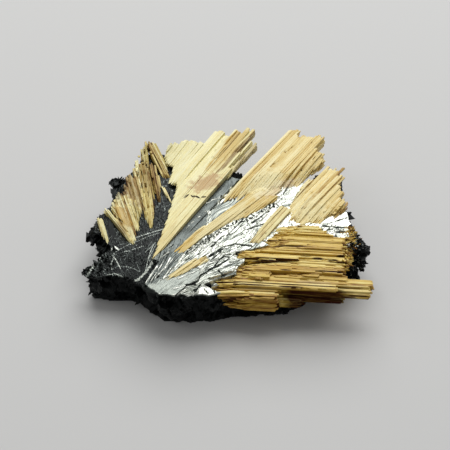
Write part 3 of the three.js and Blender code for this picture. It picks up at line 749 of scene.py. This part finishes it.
def add_plate(shader):
    """The plate's body: its CAD form with a chipped wall, and a top that its faces' sheets cover."""
    mesh = remeshed("hematite_plate", VOXEL)
    points = vectors_of(mesh.vertices, "co") / MM
    normals = vectors_of(mesh.vertex_normals, "vector")

    top = stepped(normals[:, 2], 0.55, 0.85)
    floor = stepped(-normals[:, 2], 0.6, 0.9) * stepped(-points[:, 2], -0.5, -0.2)
    wall = (1 - top) * (1 - floor)
    chips = sum(facet_field(points, *chip) for chip in WALL_CHIPS)
    lift = wall * (chips - 0.12)
    foot = stepped(points[:, 2], 0.05, 0.6)
    points += normals * (lift * foot)[:, None]
    points[:, 2] = np.maximum(points[:, 2], 0.0)

    points[:, 2] -= SUNK * top * (points[:, 2] > LEFT_TERRACE - 0.3)
    ridge = top * np.maximum(points[:, 2] - PLATE_TOP + SUNK, 0)
    points[:, 2] -= (1 - RIDGE_SHARE) * ridge
    x, y, z = points.T
    step = (z > LEFT_TERRACE - 0.4) & (abs(x + 11.5) < 4) & (y < -1)
    # the broken wall is near black, partly the fracture's own dark colour and partly painted shade;
    # the upper face and the step by the terraces are a little lighter
    tone = 0.01 + 0.022 * top + 0.07 * step
    mesh.vertices.foreach_set("co", (points * MM).astype(np.float32).ravel())
    write_attribute(mesh, "tone", tone)
    write_vectors(mesh, "grain", points)
    mesh.update()
    as_piece(mesh, "hematite_body", shader, "hematite", ["hematite_plate"])


# From black where the tone is 0 through slate and silver to bright foil; the silver and foil are
# partly painted reflection of the back light, the black partly painted shade.
STEEL = [(0.0, (0.003, 0.0035, 0.004)), (0.1, (0.036, 0.042, 0.038)), (0.2, (0.14, 0.16, 0.15)),
         (0.5, (0.45, 0.48, 0.42)), (0.95, (0.94, 0.95, 0.87))]


def hematite(name, metallic, rough_black, rough_bright, specular):
    """Specular hematite: black where broken, slate grey to bright silver on its growth faces. The
    tones that pick these colours are partly the mineral's own and partly painted reflection and
    painted shade.
    """
    shader = Shader(name)
    place = shader.place()
    grain = shader.attribute("grain", "Vector")
    tone = shader.attribute("tone")
    streak = shader.noise(shader.stretched(grain, (0.45, 4.5, 1.0)), 1.0, 5.0, 0.65)
    cloud = shader.noise(place, 0.5, 3.0)
    level = shader.math("MULTIPLY", tone, shader.ranged(streak, 0.25, 0.75, 0.7, 1.3))
    level = shader.math("MULTIPLY", level, shader.ranged(cloud, 0.3, 0.7, 0.85, 1.15))
    colour = shader.ramp(level, STEEL)
    wrinkle = shader.noise(shader.stretched(grain, (0.8, 6.0, 1.0)), 1.0, 4.0, 0.6)
    normal = shader.bump(wrinkle, 0.4, 0.05)
    normal = shader.bump(shader.noise(place, 6.0, 3.0), 0.2, 0.03, normal)
    rough = shader.ranged(tone, 0.0, 0.3, rough_black, rough_bright)
    return shader.principled(base=colour, metallic=metallic, roughness=rough, specular=specular,
                             normal=normal)


# ------------ the bright face
STAR = (-14.0, -21.0)  # the growth lines of the bright face fan out from here
FLOW_START, FLOW_END = 3.0, 42.0  # mm from the star's centre
FLOW_LOW, FLOW_HIGH = 12.0, 97.0  # the growth lines' directions from +X
FLOW_STEP = 0.15  # mm along the growth lines
SWEEP_STEP = 0.2  # degrees between them
SHEET_DEPTH = 0.4  # how deep a sheet's rim goes into the plate
FACET_LENGTH = 3.0
FACET_WIDTH = 0.55
CRUST_START = (19.9, -3.4)  # beyond this x and below this y the foil gives way to small crystals
FOIL_TONE, CRACK_TONE, RIDGE_HIGHLIGHT_TONE = 0.74, 0.015, 0.95
RIDGE_RISE, CRACK_DEPTH = 0.08, 0.25
SUNK_UNDER_FANS = 0.3  # how far a sheet stays below the upper face of a fan that covers it

# Tones run from 0 for black through 0.2 for slate and 0.5 for silver to 1 for bright foil. From zone
# to zone they are partly the plate's own shades and partly painted reflection and painted shade.
ZONES = [
    # outline in plan, tone, share of the foil's wrinkles, strength of fine stripes
    ([(-11.6, -9.6), (-9.6, -5.0), (-6.7, -0.6), (-4.0, 3.4), (-1.8, 7.0), (0.6, 9.6), (3.2, 8.0),
      (-0.6, 2.7), (-1.6, 1.2), (-3.2, -0.9), (-3.4, -3.0), (-4.6, -6.4), (-6.4, -9.2),
      (-9.0, -9.3)], 0.17, 0.12, 0.06),
    ([(-3.0, -0.9), (-0.9, 2.0), (1.0, 2.7), (4.3, 3.6), (3.5, 2.1), (2.4, 1.0), (0.4, 0.2),
      (-2.0, -2.9), (-3.3, -3.0)], 0.3, 0.12, 0.75),
    ([(-13.2, -17.6), (-15.0, -15.3), (-12, -12), (-10.8, -8.8), (-9.4, -7.6), (-7.8, -7.6),
      (-6.3, -8.6), (-6.6, -9.8), (-8.3, -12.2), (-9.1, -13.3), (-10.1, -14.9), (-10.8, -17.5)],
      0.2, 0.35, 0.25),
    ([(-13.2, -17.0), (-12.4, -16.2), (-10.9, -15.4), (-8.9, -14.5), (-6.0, -13.3), (-4.2, -12.7),
      (-4.6, -14.2), (-6.0, -16.2), (-8.5, -18.6), (-11.8, -18.6)], 0.34, 0.08, 0.14),
    ([(13.8, 3.6), (14.8, 2.6), (14.9, 1.4), (13.8, 0.6), (13.3, 1.8)], 0.42, 0.3, 0.1),
    ([(13.6, -2.9), (15.5, 0.4), (18.0, 2.4), (20.8, 0.6), (20.8, -4.2)], 0.85, 0.12, 0.08),
    ([(10.3, -0.1), (11.0, -2.4), (8.3, -3.9), (6.1, -6.4)], 0.9, 0.2, 0.1),
    ([(9.2, 3.0), (10.6, 5.4), (11.7, 6.7), (13.0, 6.0), (13.3, 5.3), (11.9, 4.2), (10.1, 2.0),
      (9.0, 2.0)], 0.6, 0.4, 0.12),
    ([(-5.0, -18.4), (-4.1, -16.6), (-2.3, -17.0), (-1.0, -18.4)], 0.9, 0.2, 0.08),
]
RIDGES = [
    # line in plan, half its width; each ridge is raised and painted almost white as a highlight
    ([(-13.3, -16.2), (-11.3, -12.4)], 0.1),
    ([(-11.6, -14.9), (-10.2, -13.0), (-9.3, -10.7)], 0.09),
    ([(-10.9, -10.7), (-9.5, -9.4)], 0.06),
    ([(-10.3, -14.9), (-9.2, -13.0), (-8.3, -12.4), (-6.9, -9.6)], 0.12),
    ([(-10.0, -12.9), (-8.4, -10.1)], 0.04), ([(-12.3, -15.6), (-10.6, -12.2)], 0.04),
    ([(-9.6, -13.9), (-7.6, -11.9)], 0.05), ([(-11.2, -13.2), (-10.2, -11.2)], 0.04),
    ([(-3.6, 1.4), (-0.9, 2.5)], 0.07), ([(-8.6, -17.1), (-6.4, -16.4)], 0.1),
    ([(-13.2, -16.7), (-12.2, -17.7), (-11.2, -18.2), (-9.1, -18.6), (-8.3, -18.3)], 0.14),
    ([(-6.7, -4.2), (-6.3, -3.6)], 0.05), ([(-5.9, -3.2), (-5.6, -2.9)], 0.06),
    ([(-4.9, -2.1), (-4.6, -1.8)], 0.05), ([(-5.4, -4.6), (-5.0, -4.0)], 0.05),
    ([(-3.9, -0.9), (-3.6, -0.6)], 0.04), ([(-7.9, -15.0), (-4.6, -13.2)], 0.05),
    ([(-6.2, -9.4), (-3.9, -7.7)], 0.08), ([(-10.8, -15.4), (-9.6, -14.6)], 0.06),
]
CRACKS = [
    # line in plan, half its width
    ([(-8.5, -18.7), (-6.6, -16.6), (-4.7, -15.5)], 0.1), ([(-6.6, -16.3), (-5.3, -16.2)], 0.22),
    ([(-4.7, -15.5), (-4.4, -14.3), (-3.4, -13.7), (-2.3, -12.8), (-1.5, -11.3), (-0.6, -10.3),
      (0.2, -10.5)], 0.09), ([(-3.1, -13.2), (-2.0, -12.7), (0.2, -10.9)], 0.12),
    ([(-5.2, -17.4), (-5.9, -17.9)], 0.08), ([(-5.0, -17.2), (-6.9, -17.9)], 0.05),
    ([(-11.3, -14.8), (-11.1, -14.5)], 0.22), ([(-12.7, -15.9), (-11.7, -14.0)], 0.04),
    ([(-12.1, -13.1), (-11.2, -11.4)], 0.05), ([(-9.9, -14.2), (-8.7, -12.6)], 0.05),
    ([(-3.0, -10.4), (-0.8, -8.8)], 0.13), ([(-2.6, -8.2), (-0.8, -6.0)], 0.08),
    ([(-0.1, -5.9), (2.3, -2.6)], 0.1), ([(4.0, -3.1), (6.8, -0.5)], 0.1),
    ([(2.3, -5.5), (2.9, -5.0)], 0.08), ([(3.1, -4.6), (4.2, -4.0), (6.0, -3.3)], 0.08),
    ([(-4.4, -16.4), (-5.2, -17.8)], 0.1), ([(-2.8, -11.2), (-1.1, -9.4)], 0.1),
    ([(-3.0, -10.3), (-0.7, -8.3), (1.2, -7.7), (3.9, -8.1)], 0.09),
    ([(-1.5, -13.4), (-0.9, -14.0)], 0.07), ([(11.7, 6.9), (13.4, 5.6)], 0.1),
    ([(9.3, 3.5), (10.4, 5.6)], 0.05), ([(19.6, -1.9), (16.4, -3.2)], 0.05),
    ([(-3.9, -17.0), (-2.9, -18.4)], 0.05), ([(-2.4, -17.2), (-1.9, -18.3)], 0.04),
    ([(15.6, -3.8), (19.5, -4.2)], 0.07), ([(17.8, -5.05), (19.4, -5.05)], 0.16),
]
GRAINY_BELTS = [
    # line in plan, half its width
    ([(-6.3, -9.2), (-5.0, -8.4), (-0.5, -4.2), (2.2, -2.6), (5.7, -0.1), (7.9, 1.0)], 0.55),
    ([(-0.9, 2.5), (1.0, 2.7), (4.3, 3.6)], 0.4),
]
# The gap between the plate and the left ends of the front bundle, which the foil bridges.
BRIDGE = [(-4.5, -16), (-3.5, -14.2), (-0.2, -13.2), (1, -11.5), (0, -9.8), (2, -8.3), (5.5, -7),
          (9.3, -3.3), (15.3, -3.2), (16.6, -4.8), (17.5, -5.6), (20, -6.3), (20.5, -8.5),
          (16.5, -7.5), (14.5, -5), (10.5, -5), (7, -8.5), (3, -10), (2.5, -12.5), (1, -14.5),
          (-1, -16.3)]
BRIDGE_HEIGHTS = ((-17, -15, -13, -10), (6.9, 7.3, 7.8, 8.0))


def distance_to_line(x, y, line):
    """How far points of the plan lie from a line of several stretches."""
    far = np.full(x.shape, np.inf)
    for (x0, y0), (x1, y1) in zip(line, line[1:]):
        dx, dy = x1 - x0, y1 - y0
        share = np.clip(((x - x0) * dx + (y - y0) * dy) / (dx * dx + dy * dy), 0, 1)
        far = np.minimum(far, np.hypot(x - x0 - share * dx, y - y0 - share * dy))
    return far


def depth_inside(x, y, outline):
    """How far points of the plan lie inside an outline, below 0 outside."""
    inside = np.zeros(x.shape, bool)
    for (x0, y0), (x1, y1) in zip(outline, outline[1:] + outline[:1]):
        crossing = (y0 > y) != (y1 > y)
        inside ^= crossing & (x < x0 + (y - y0) * (x1 - x0) / (y1 - y0 if y1 != y0 else 1.0))
    far = distance_to_line(x, y, outline + outline[:1])
    return np.where(inside, far, -far)


def noise_at(x, y, scale, seed):
    """Smooth noise from -1 to 1 at each point of the plan."""
    places = zip(x.ravel(), y.ravel())
    values = [noise.noise(Vector((a * scale, b * scale, seed))) for a, b in places]
    return np.array(values).reshape(x.shape)


def foil_facets(along, across, seed):
    """Long tilted facets: their heights, their own shades, and how near a crack between two is."""
    chance = np.random.default_rng(seed)
    plan = np.stack([along / FACET_LENGTH, across / FACET_WIDTH], -1).reshape(-1, 2)
    low, high = plan.min(0) - 1, plan.max(0) + 1
    seeds = chance.uniform(low, high, (int(np.prod(high - low)), 2))
    tree = search_tree([(*place, 0) for place in seeds])
    found = [tree.find_n((*p, 0), 2) for p in plan]
    nearest, second = (np.array([pair[k][1] for pair in found]) for k in (0, 1))
    margin = np.array([pair[1][2] - pair[0][2] for pair in found])
    slopes = chance.normal(0, (0.045, 0.06), (len(seeds), 2))
    offset = plan - seeds[nearest]
    height = (offset * slopes[nearest]).sum(1) + chance.uniform(0, 0.09, len(seeds))[nearest]
    shade = chance.uniform(0, 1, len(seeds))[nearest]
    cracked = ((nearest * 31 + second * 31) % 100 < 34) & (shade > 0.1)
    crack = np.where(cracked, 1 - np.clip(margin / 0.1, 0, 1), 0)
    return tuple(values.reshape(along.shape) for values in (height, shade, crack))


def plate_heights(x, y):
    """The height of the plate's upper side under each point of the plan, NaN beside it."""
    plate = tree_of("hematite_plate")
    heights = np.full(x.shape, np.nan)
    for index in np.ndindex(x.shape):
        hit = hit_below(plate, x[index], y[index], PLATE_TOP + 4)
        if hit is not None:
            heights[index] = hit.z
    return heights


FAN_NODES = ["rutile_fan_back", "rutile_fan_rear_right", "rutile_fan_right", "rutile_bundle_front",
             "rutile_blade_middle", "rutile_blade_inner", "rutile_spray_left", "rutile_blade_left",
             "rutile_sliver_left"]


def fan_tops(x, y):
    """The lowest of the fans' upper faces over each point of the plan, NaN where there is none."""
    trees = [tree_of(node) for node in FAN_NODES]
    heights = np.full(x.shape, np.nan)
    for index in np.ndindex(x.shape):
        hits = [hit_below(tree, x[index], y[index], PLATE_TOP + 8) for tree in trees]
        tops = [hit.z for hit in hits if hit]
        if tops:
            heights[index] = min(tops)
    return heights


def spread(values, times):
    """Values softened over a grid's neighbours."""
    for _ in range(times):
        padded = np.pad(values, 1, mode="edge")
        values = sum(padded[1 + a:padded.shape[0] - 1 + a, 1 + b:padded.shape[1] - 1 + b]
                     for a, b in ((0, 0), (1, 0), (-1, 0), (0, 1), (0, -1))) / 5
    return values


def flow_grid(low, high, across_step):
    """A grid along the growth lines: distance from the star's centre, turn, x and y."""
    reach = np.arange(FLOW_START, FLOW_END, FLOW_STEP)
    r, turn = np.meshgrid(reach, np.radians(np.arange(low, high, across_step)), indexing="ij")
    return r, turn, STAR[0] + r * np.cos(turn), STAR[1] + r * np.sin(turn)


def add_sheet(name, material, x, y, base, rise, tone, along, across):
    """A face's relief as a sheet set into the plate. It sinks away at its border and under fans."""
    there = ~np.isnan(base)
    level = np.where(there, base, PLATE_TOP)
    tops = fan_tops(x, y)
    covered = ~np.isnan(tops)
    cover = spread(covered.astype(float), 1)
    inward = spread(there.astype(float), 2)
    z = level + 0.02 + rise * stepped(inward, 0.55, 0.95) * (1 - cover) - 0.08 * cover
    z = np.where(covered, np.minimum(z, tops - SUNK_UNDER_FANS), z)
    used = there[:-1, :-1] & there[1:, :-1] & there[:-1, 1:] & there[1:, 1:]
    bottom = np.minimum(level - SHEET_DEPTH, z - 0.1)
    sheet = Bodies()
    sheet.add(*rimmed_sheet(x, y, z, bottom, tone, along, across, used))
    sheet.made(name, material, "hematite")


def bright_face(material):
    """The plate's wrinkled skin, with long facets, cracks and ridges along the growth lines. Its
    light foil tones are partly painted reflection of the back light, and its grey facets and darker
    zones are partly painted shade.
    """
    r, turn, x, y = flow_grid(FLOW_LOW, FLOW_HIGH, SWEEP_STEP)
    base = plate_heights(x, y)
    base[base < PLATE_TOP - 0.25] = np.nan
    in_slate = depth_inside(x, y, ZONES[0][0]) > -0.3
    lowered = PLATE_TOP + RIDGE_SHARE * (base - PLATE_TOP)
    base = np.where(in_slate | (base < PLATE_TOP), base, lowered)
    bridge = np.interp(y, *BRIDGE_HEIGHTS)
    bridged = (depth_inside(x, y, BRIDGE) > 0) & ~(base > bridge)
    base[bridged] = bridge[bridged]
    base[(x > CRUST_START[0]) & (y < CRUST_START[1])] = np.nan

    along = r + 2.0 * noise_at(x, y, 0.22, 7)
    across = (turn * 24.0) + 1.4 * noise_at(x, y, 0.16, 3) + 0.5 * noise_at(x, y, 0.5, 11)
    height, shade, crack = foil_facets(along, across, 17)
    finer, fine_shade, fine_crack = foil_facets(along * 2.3 + 40, across * 2.3 + 40, 19)
    ripple = noise_at(along * 0.35, across * 2.6, 1.0, 5)
    edge = 0.5 * noise_at(x, y, 0.9, 23)

    # painted reflection and shade: the light foil tone stands in for the back light's reflection,
    # and the facets darkened here stand in for facets turned away from it
    tone = FOIL_TONE - 0.26 * stepped(shade, 0.7, 0.8) - 0.3 * (fine_shade - 0.5) + 0.34 * ripple
    wrinkle = np.ones(x.shape)
    stripe = noise_at(along * 0.22, across * 6.0, 1.0, 13)
    for outline, zone_tone, zone_wrinkle, stripes in ZONES:
        share = stepped(depth_inside(x, y, outline) + edge, -0.12, 0.16)
        own = zone_tone + zone_tone * (0.4 * (shade - 0.5) * zone_wrinkle + 0.15 * ripple)
        own = own + stripes * stripe
        tone = tone * (1 - share) + own * share
        wrinkle = wrinkle * (1 - share) + zone_wrinkle * share
    rise = (0.05 + height + 0.45 * finer + 0.045 * ripple) * wrinkle
    deep = np.maximum(crack, 0.5 * fine_crack) * np.minimum(wrinkle * 1.3, 1)
    for line, half in GRAINY_BELTS:
        share = stepped(-distance_to_line(x, y, line) + half + 0.6 * edge, -0.15, 0.15)
        grain = noise_at(x, y, 3.1, 29)
        rise += share * 0.13 * grain
        tone = tone * (1 - 0.6 * share) + 0.6 * share * (0.55 + 1.1 * grain)
        deep = np.maximum(deep, share * stepped(-grain, 0.16, 0.34) * 0.8)
    # ridges: a raised crest painted almost white, a painted highlight along it
    for line, half in RIDGES:
        far = distance_to_line(x, y, line) + 0.16 * edge
        share = stepped(-far, -half - 0.05, -half + 0.03)
        rise += RIDGE_RISE * stepped(-far, -half - 0.1, 0.0)
        tone = tone * (1 - share) + RIDGE_HIGHLIGHT_TONE * share
    for line, half in CRACKS:
        far = distance_to_line(x, y, line) + 0.25 * edge
        deep = np.maximum(deep, stepped(-far, -0.7 * half - 0.07, -0.7 * half + 0.03))
    rise -= CRACK_DEPTH * deep
    tone = tone * (1 - deep) + CRACK_TONE * deep
    add_sheet("hematite_bright_face", material, x, y, base, rise, tone, along, across)


# ------------ the dark face
DARK_LOW, DARK_HIGH = 66.0, 152.0
DARK_FACE_FOOT = 5.6  # the lowest height that still belongs to the left face
HAIRLINES, HAIRLINE_SEED = 260, 61
HAIRLINE_WAYS = [(24, 9), (58, 16), (118, 20)]  # each family's direction from +X and its spread
HAIRLINE_REGION = ((-23, -8), (-17, 11))
SCRATCH_RISE = 0.02
SCRATCHES_AND_RIM_HIGHLIGHT = [
    # line in plan, half its width, tone; all scratches but the painted highlight on the left rim
    ([(-15.6, -5.9), (-13.0, -4.8), (-10.5, -3.8)], 0.03, 0.6),
    ([(-15.9, -7.2), (-13.5, -5.7), (-11.2, -4.6)], 0.01, 0.5),
    ([(-19.6, -9.6), (-17.6, -9.0), (-15.6, -8.4), (-13.7, -7.5)], 0.02, 0.45),
    ([(-18.9, -9.2), (-16.4, -7.4), (-15.6, -6.6)], 0.02, 0.4),
    ([(-15.3, -14.5), (-14.3, -14.1), (-13.1, -12.7), (-12.2, -11.0)], 0.16, 0.55),
    ([(-13.3, -12.9), (-12.7, -9.3), (-12.1, -7.1)], 0.03, 0.5),
    ([(-13.4, -8.9), (-11.7, -6.7)], 0.02, 0.4),
    ([(-12.9, -10.6), (-12.0, -8.0), (-10.9, -5.5)], 0.02, 0.4),
    ([(-12.6, -11.4), (-11.3, -8.6)], 0.03, 0.5),
    ([(-20.0, -13.5), (-18.8, -13.4), (-17.5, -13.8), (-15.4, -14.9)], 0.03, 0.5),
    ([(-20.6, -13.9), (-19.6, -12.9), (-18.2, -12.7), (-16.9, -13.4)], 0.03, 0.45),
    ([(-18.5, -9.5), (-18.0, -10.4), (-17.3, -11.9)], 0.03, 0.7),
    ([(-18.5, -9.5), (-18.9, -10.9), (-18.7, -11.9)], 0.03, 0.55),
    ([(-19.2, -8.3), (-18.5, -7.7), (-17.8, -8.2)], 0.14, 0.6),
    # a painted highlight along the plate's left rim, not a scratch
    ([(-22.9, -13.0), (-21.4, -10.4), (-19.5, -7.5)], 0.09, 0.5),
    ([(-22.6, -12.8), (-20.3, -9.0)], 0.02, 0.4),
    ([(-22.6, -13.9), (-20.9, -14.6), (-18.6, -15.0)], 0.08, 0.45),
    ([(-17.9, -11.4), (-15.9, -11.6), (-14.2, -12.6)], 0.02, 0.35),
]


def random_scratches(chance, count):
    """Hairlines in three loose families, each a little bent."""
    lines = []
    for _ in range(count):
        start = np.array([chance.uniform(*side) for side in HAIRLINE_REGION])
        way = math.radians(chance.choice([chance.gauss(*family) for family in HAIRLINE_WAYS]))
        line = [start]
        for _ in range(3):
            run = chance.uniform(0.2, 1.1)
            line.append(line[-1] + run * np.array((math.cos(way), math.sin(way))))
            way += chance.gauss(0, 0.16)
        half, shine = chance.uniform(0.0, 0.02), chance.uniform(0.05, 0.3)
        lines.append(([tuple(p) for p in line], half, shine))
    return lines


def dark_face(material):
    """The left growth face: finely pitted, with hairline scratches. Its near black is partly its own
    colour and partly painted shade, the bright specks where pits crowd are painted sparkle, and a
    line along its left rim is a painted highlight.
    """
    r, turn, x, y = flow_grid(DARK_LOW, DARK_HIGH, SWEEP_STEP)
    base = plate_heights(x, y)
    slope = np.hypot(*np.gradient(base, FLOW_STEP))
    base[(base < DARK_FACE_FOOT) | (base > LEFT_TERRACE + 0.2) | (slope > 0.8)] = np.nan
    height, shade, _ = foil_facets(r * 0.8 + 3 * noise_at(x, y, 0.15, 3), turn * 7, 37)
    ripple = noise_at(x, y, 0.7, 41)
    pits = 0.6 * noise_at(r * 1.5, turn * 60, 1.0, 43) + 0.6 * noise_at(x, y, 3.6, 45)
    crowd = stepped(noise_at(x, y, 0.45, 47), -0.3, 0.35)
    tone = 0.02 + 0.03 * (shade - 0.3) + 0.03 * ripple + 0.07 * pits
    # bright specks where the pits crowd: painted sparkle, glints of light on the dark face
    tone += 0.2 * crowd * stepped(pits, 0.22, 0.5)
    rise = 0.3 * height + 0.04 * ripple + 0.11 * pits
    hairlines = random_scratches(random.Random(HAIRLINE_SEED), HAIRLINES)
    for line, half, shine in SCRATCHES_AND_RIM_HIGHLIGHT + hairlines:
        near = -distance_to_line(x, y, line) + 1.2 * half * pits
        share = stepped(near, -half - 0.07, -half + 0.01)
        tone = np.maximum(tone, shine * share)
        rise += SCRATCH_RISE * share
    tone = np.maximum(tone, 0.004)
    add_sheet("hematite_dark_face", material, x, y, base, rise, tone, r, turn * 24)


def rimmed_sheet(x, y, top, bottom, tone, along, across, used):
    """A sheet over a grid's used cells, with a rim that goes down: points, faces, tones, grain."""
    corners = np.zeros(x.shape, bool)
    for a in (0, 1):
        for b in (0, 1):
            corners[a:x.shape[0] - 1 + a, b:x.shape[1] - 1 + b] |= used
    count = int(corners.sum())
    index = np.full(x.shape, -1)
    index[corners] = np.arange(count)
    points = [np.stack([x[corners], y[corners], z[corners]], 1) for z in (top, bottom)]
    faces = []
    rows, columns = np.nonzero(used)
    for i, j in zip(rows, columns):
        a, b, c, d = (int(index[i + p, j + q]) for p, q in ((0, 0), (1, 0), (1, 1), (0, 1)))
        faces.append((a, b, c, d))
        for one, other, di, dj in ((a, b, 0, -1), (b, c, 1, 0), (c, d, 0, 1), (d, a, -1, 0)):
            near_i, near_j = i + di, j + dj
            outside = not (0 <= near_i < used.shape[0] and 0 <= near_j < used.shape[1])
            if outside or not used[near_i, near_j]:
                faces.append((other, one, one + count, other + count))
    tones = np.concatenate([tone[corners], np.full(count, 0.02)])
    grain = np.stack([along[corners], across[corners], 0 * x[corners]], 1)
    return np.vstack(points), faces, tones, np.vstack([grain, grain])


# ------------ crust and crumbs
# Where small crystals crowd: the box in plan, how many are tried, their greatest length, and the
# share given a painted glint, a lighter tone standing in for a highlight.
CRUSTS = [((19.6, -12.0, 23.0, -4.4), 1100, 0.42, 0.2),
          ((-25.0, -12.0, -18.4, -3.5), 320, 0.9, 0.07),
          ((-22.5, -3.5, -16.5, 8.5), 260, 0.6, 0.07),
          ((-24.5, -16.0, -20.5, -12.0), 90, 0.6, 0.07)]
CRUST_FOOT = 1.0  # no crystal stands lower, so that none reaches the floor
CRUMBS = 420
CRUMB_RANGE = (-13.0, -3.9)  # in y
CRUMB_EDGE = 19.9  # in x, where the bundle's right ends crumble
CRUMB_FOOT = 4  # the lowest height at which a splinter still lies
# Larger dark glassy crystals by the left spray: foot, direction from +X, rise, length, thickness.
GLASSY = [((-18.7, -5.6, 7.1), 103, 10, 4.2, 0.55), ((-19.4, -4.6, 7.1), 98, 8, 3.3, 0.45),
          ((-18.4, 2.6, 7.2), 105, 16, 2.4, 0.5), ((-17.7, 3.8, 7.3), 84, 20, 2.0, 0.55),
          ((-18.9, 4.3, 6.9), 128, 22, 1.4, 0.5)]


def add_crust(material):
    """Small pointed black crystals that stand out of the plate at its right end and left edge; a
    share of them carry a painted glint, a lighter tone standing in for a highlight.
    """
    chance = random.Random(73)
    plate = tree_of("hematite_plate")
    bodies = Bodies()
    for (x0, y0, x1, y1), count, length, painted_glint_share in CRUSTS:
        for _ in range(count):
            aim = [chance.uniform(*side) for side in ((x0, x1), (y0, y1), (CRUST_FOOT, PLATE_TOP))]
            aim = Vector(aim)
            away = Vector((chance.uniform(-1, 1), chance.uniform(-1, 1), chance.uniform(-0.1, 1.4)))
            away.normalize()
            foot, normal, _, _ = plate.ray_cast(aim + away * 9, -away, 18)
            if foot is None or foot.z < CRUST_FOOT or not (x0 < foot.x < x1 and y0 < foot.y < y1):
                continue
            if x0 < 0 and abs(foot.z - LEFT_TERRACE) < 0.1 and chance.random() < 0.85:
                continue
            lean = Vector((chance.gauss(0, 0.6), chance.gauss(0, 0.6), chance.gauss(0, 0.6)))
            # some crystals get a lighter tone: a painted glint, not their own colour
            painted_glint_here = chance.random() < painted_glint_share
            tone = chance.uniform(0.15, 0.5) if painted_glint_here else chance.uniform(0.01, 0.06)
            size = length * chance.uniform(0.35, 1.0)
            thick = size * chance.uniform(0.16, 0.34)
            add_crystal(bodies, foot, (normal + lean).normalized(), size, thick, tone, chance)
    for foot, turn, rise, length, thick in GLASSY:
        add_crystal(bodies, Vector(foot), direction_of(turn, rise), length, thick, 0.02, chance)
    bodies.made("hematite_crust", material, "hematite")


def add_crumbs(material):
    """Splinters of needles where the right ends of the front bundle crumble over the crust."""
    chance = random.Random(83)
    trees = [tree_of(node) for node in ("rutile_bundle_front", "hematite_plate")]
    bodies = Bodies()
    for _ in range(CRUMBS):
        y = chance.uniform(*CRUMB_RANGE)
        x = chance.gauss(CRUMB_EDGE + 0.03 * (y + 8), 0.45)
        hits = [hit_below(tree, x, y, PLATE_TOP + 4) for tree in trees]
        foot = max((hit for hit in hits if hit), key=lambda hit: hit.z, default=None)
        if foot is None or foot.z < CRUMB_FOOT:
            continue
        way = direction_of(chance.gauss(-4, 28), chance.gauss(2, 22))
        size, thick = chance.uniform(0.3, 0.9), chance.uniform(0.05, 0.13)
        tone = chance.uniform(-0.1, 0.9)
        add_crystal(bodies, foot, way, size, thick, tone, chance)
    bodies.made("needles_crumbs", material, "rutile_deep")


def add_crystal(bodies, foot, way, length, thick, tone, chance):
    """A stubby crystal of a few flat sides: a prism with a slanting point."""
    side = way.orthogonal().normalized()
    other = way.cross(side)
    count = chance.choice([4, 5, 6])
    turns = [2 * math.pi * (k + chance.uniform(-0.2, 0.2)) / count for k in range(count)]
    rim = [(side * math.cos(a) + other * math.sin(a)) * thick for a in turns]
    shoulder = length * chance.uniform(0.4, 0.75)
    tip = foot + way * length + rim[0] * chance.uniform(-0.5, 0.5)
    points = [foot + p - way * 0.3 for p in rim]
    points += [foot + p * 0.85 + way * shoulder for p in rim] + [tip]
    faces = [list(range(count))[::-1]]
    for k in range(count):
        after = (k + 1) % count
        faces += [(k, after, count + after, count + k), (count + k, count + after, 2 * count)]
    bodies.add([tuple(p) for p in points], faces, tone)


def add_hematite():
    black = hematite("hematite_broken", 0.4, 0.45, 0.4, 0.2)
    add_plate(black)
    # one mineral in two skins: painted reflection in the bright face's tones, painted shade in the
    # dark face's
    bright_face(hematite("hematite_silver_with_painted_reflection", 0.65, 0.4, 0.4, 0.4))
    dark_face(hematite("hematite_black_with_painted_shade", 0.5, 0.27, 0.27, 0.2))
    add_crust(black)


add_camera()
add_floor()
add_world()
for softbox in SOFTBOXES:
    add_softbox(*softbox)
bpy.context.scene.view_settings.view_transform = "Standard"
add_fans()
add_hematite()
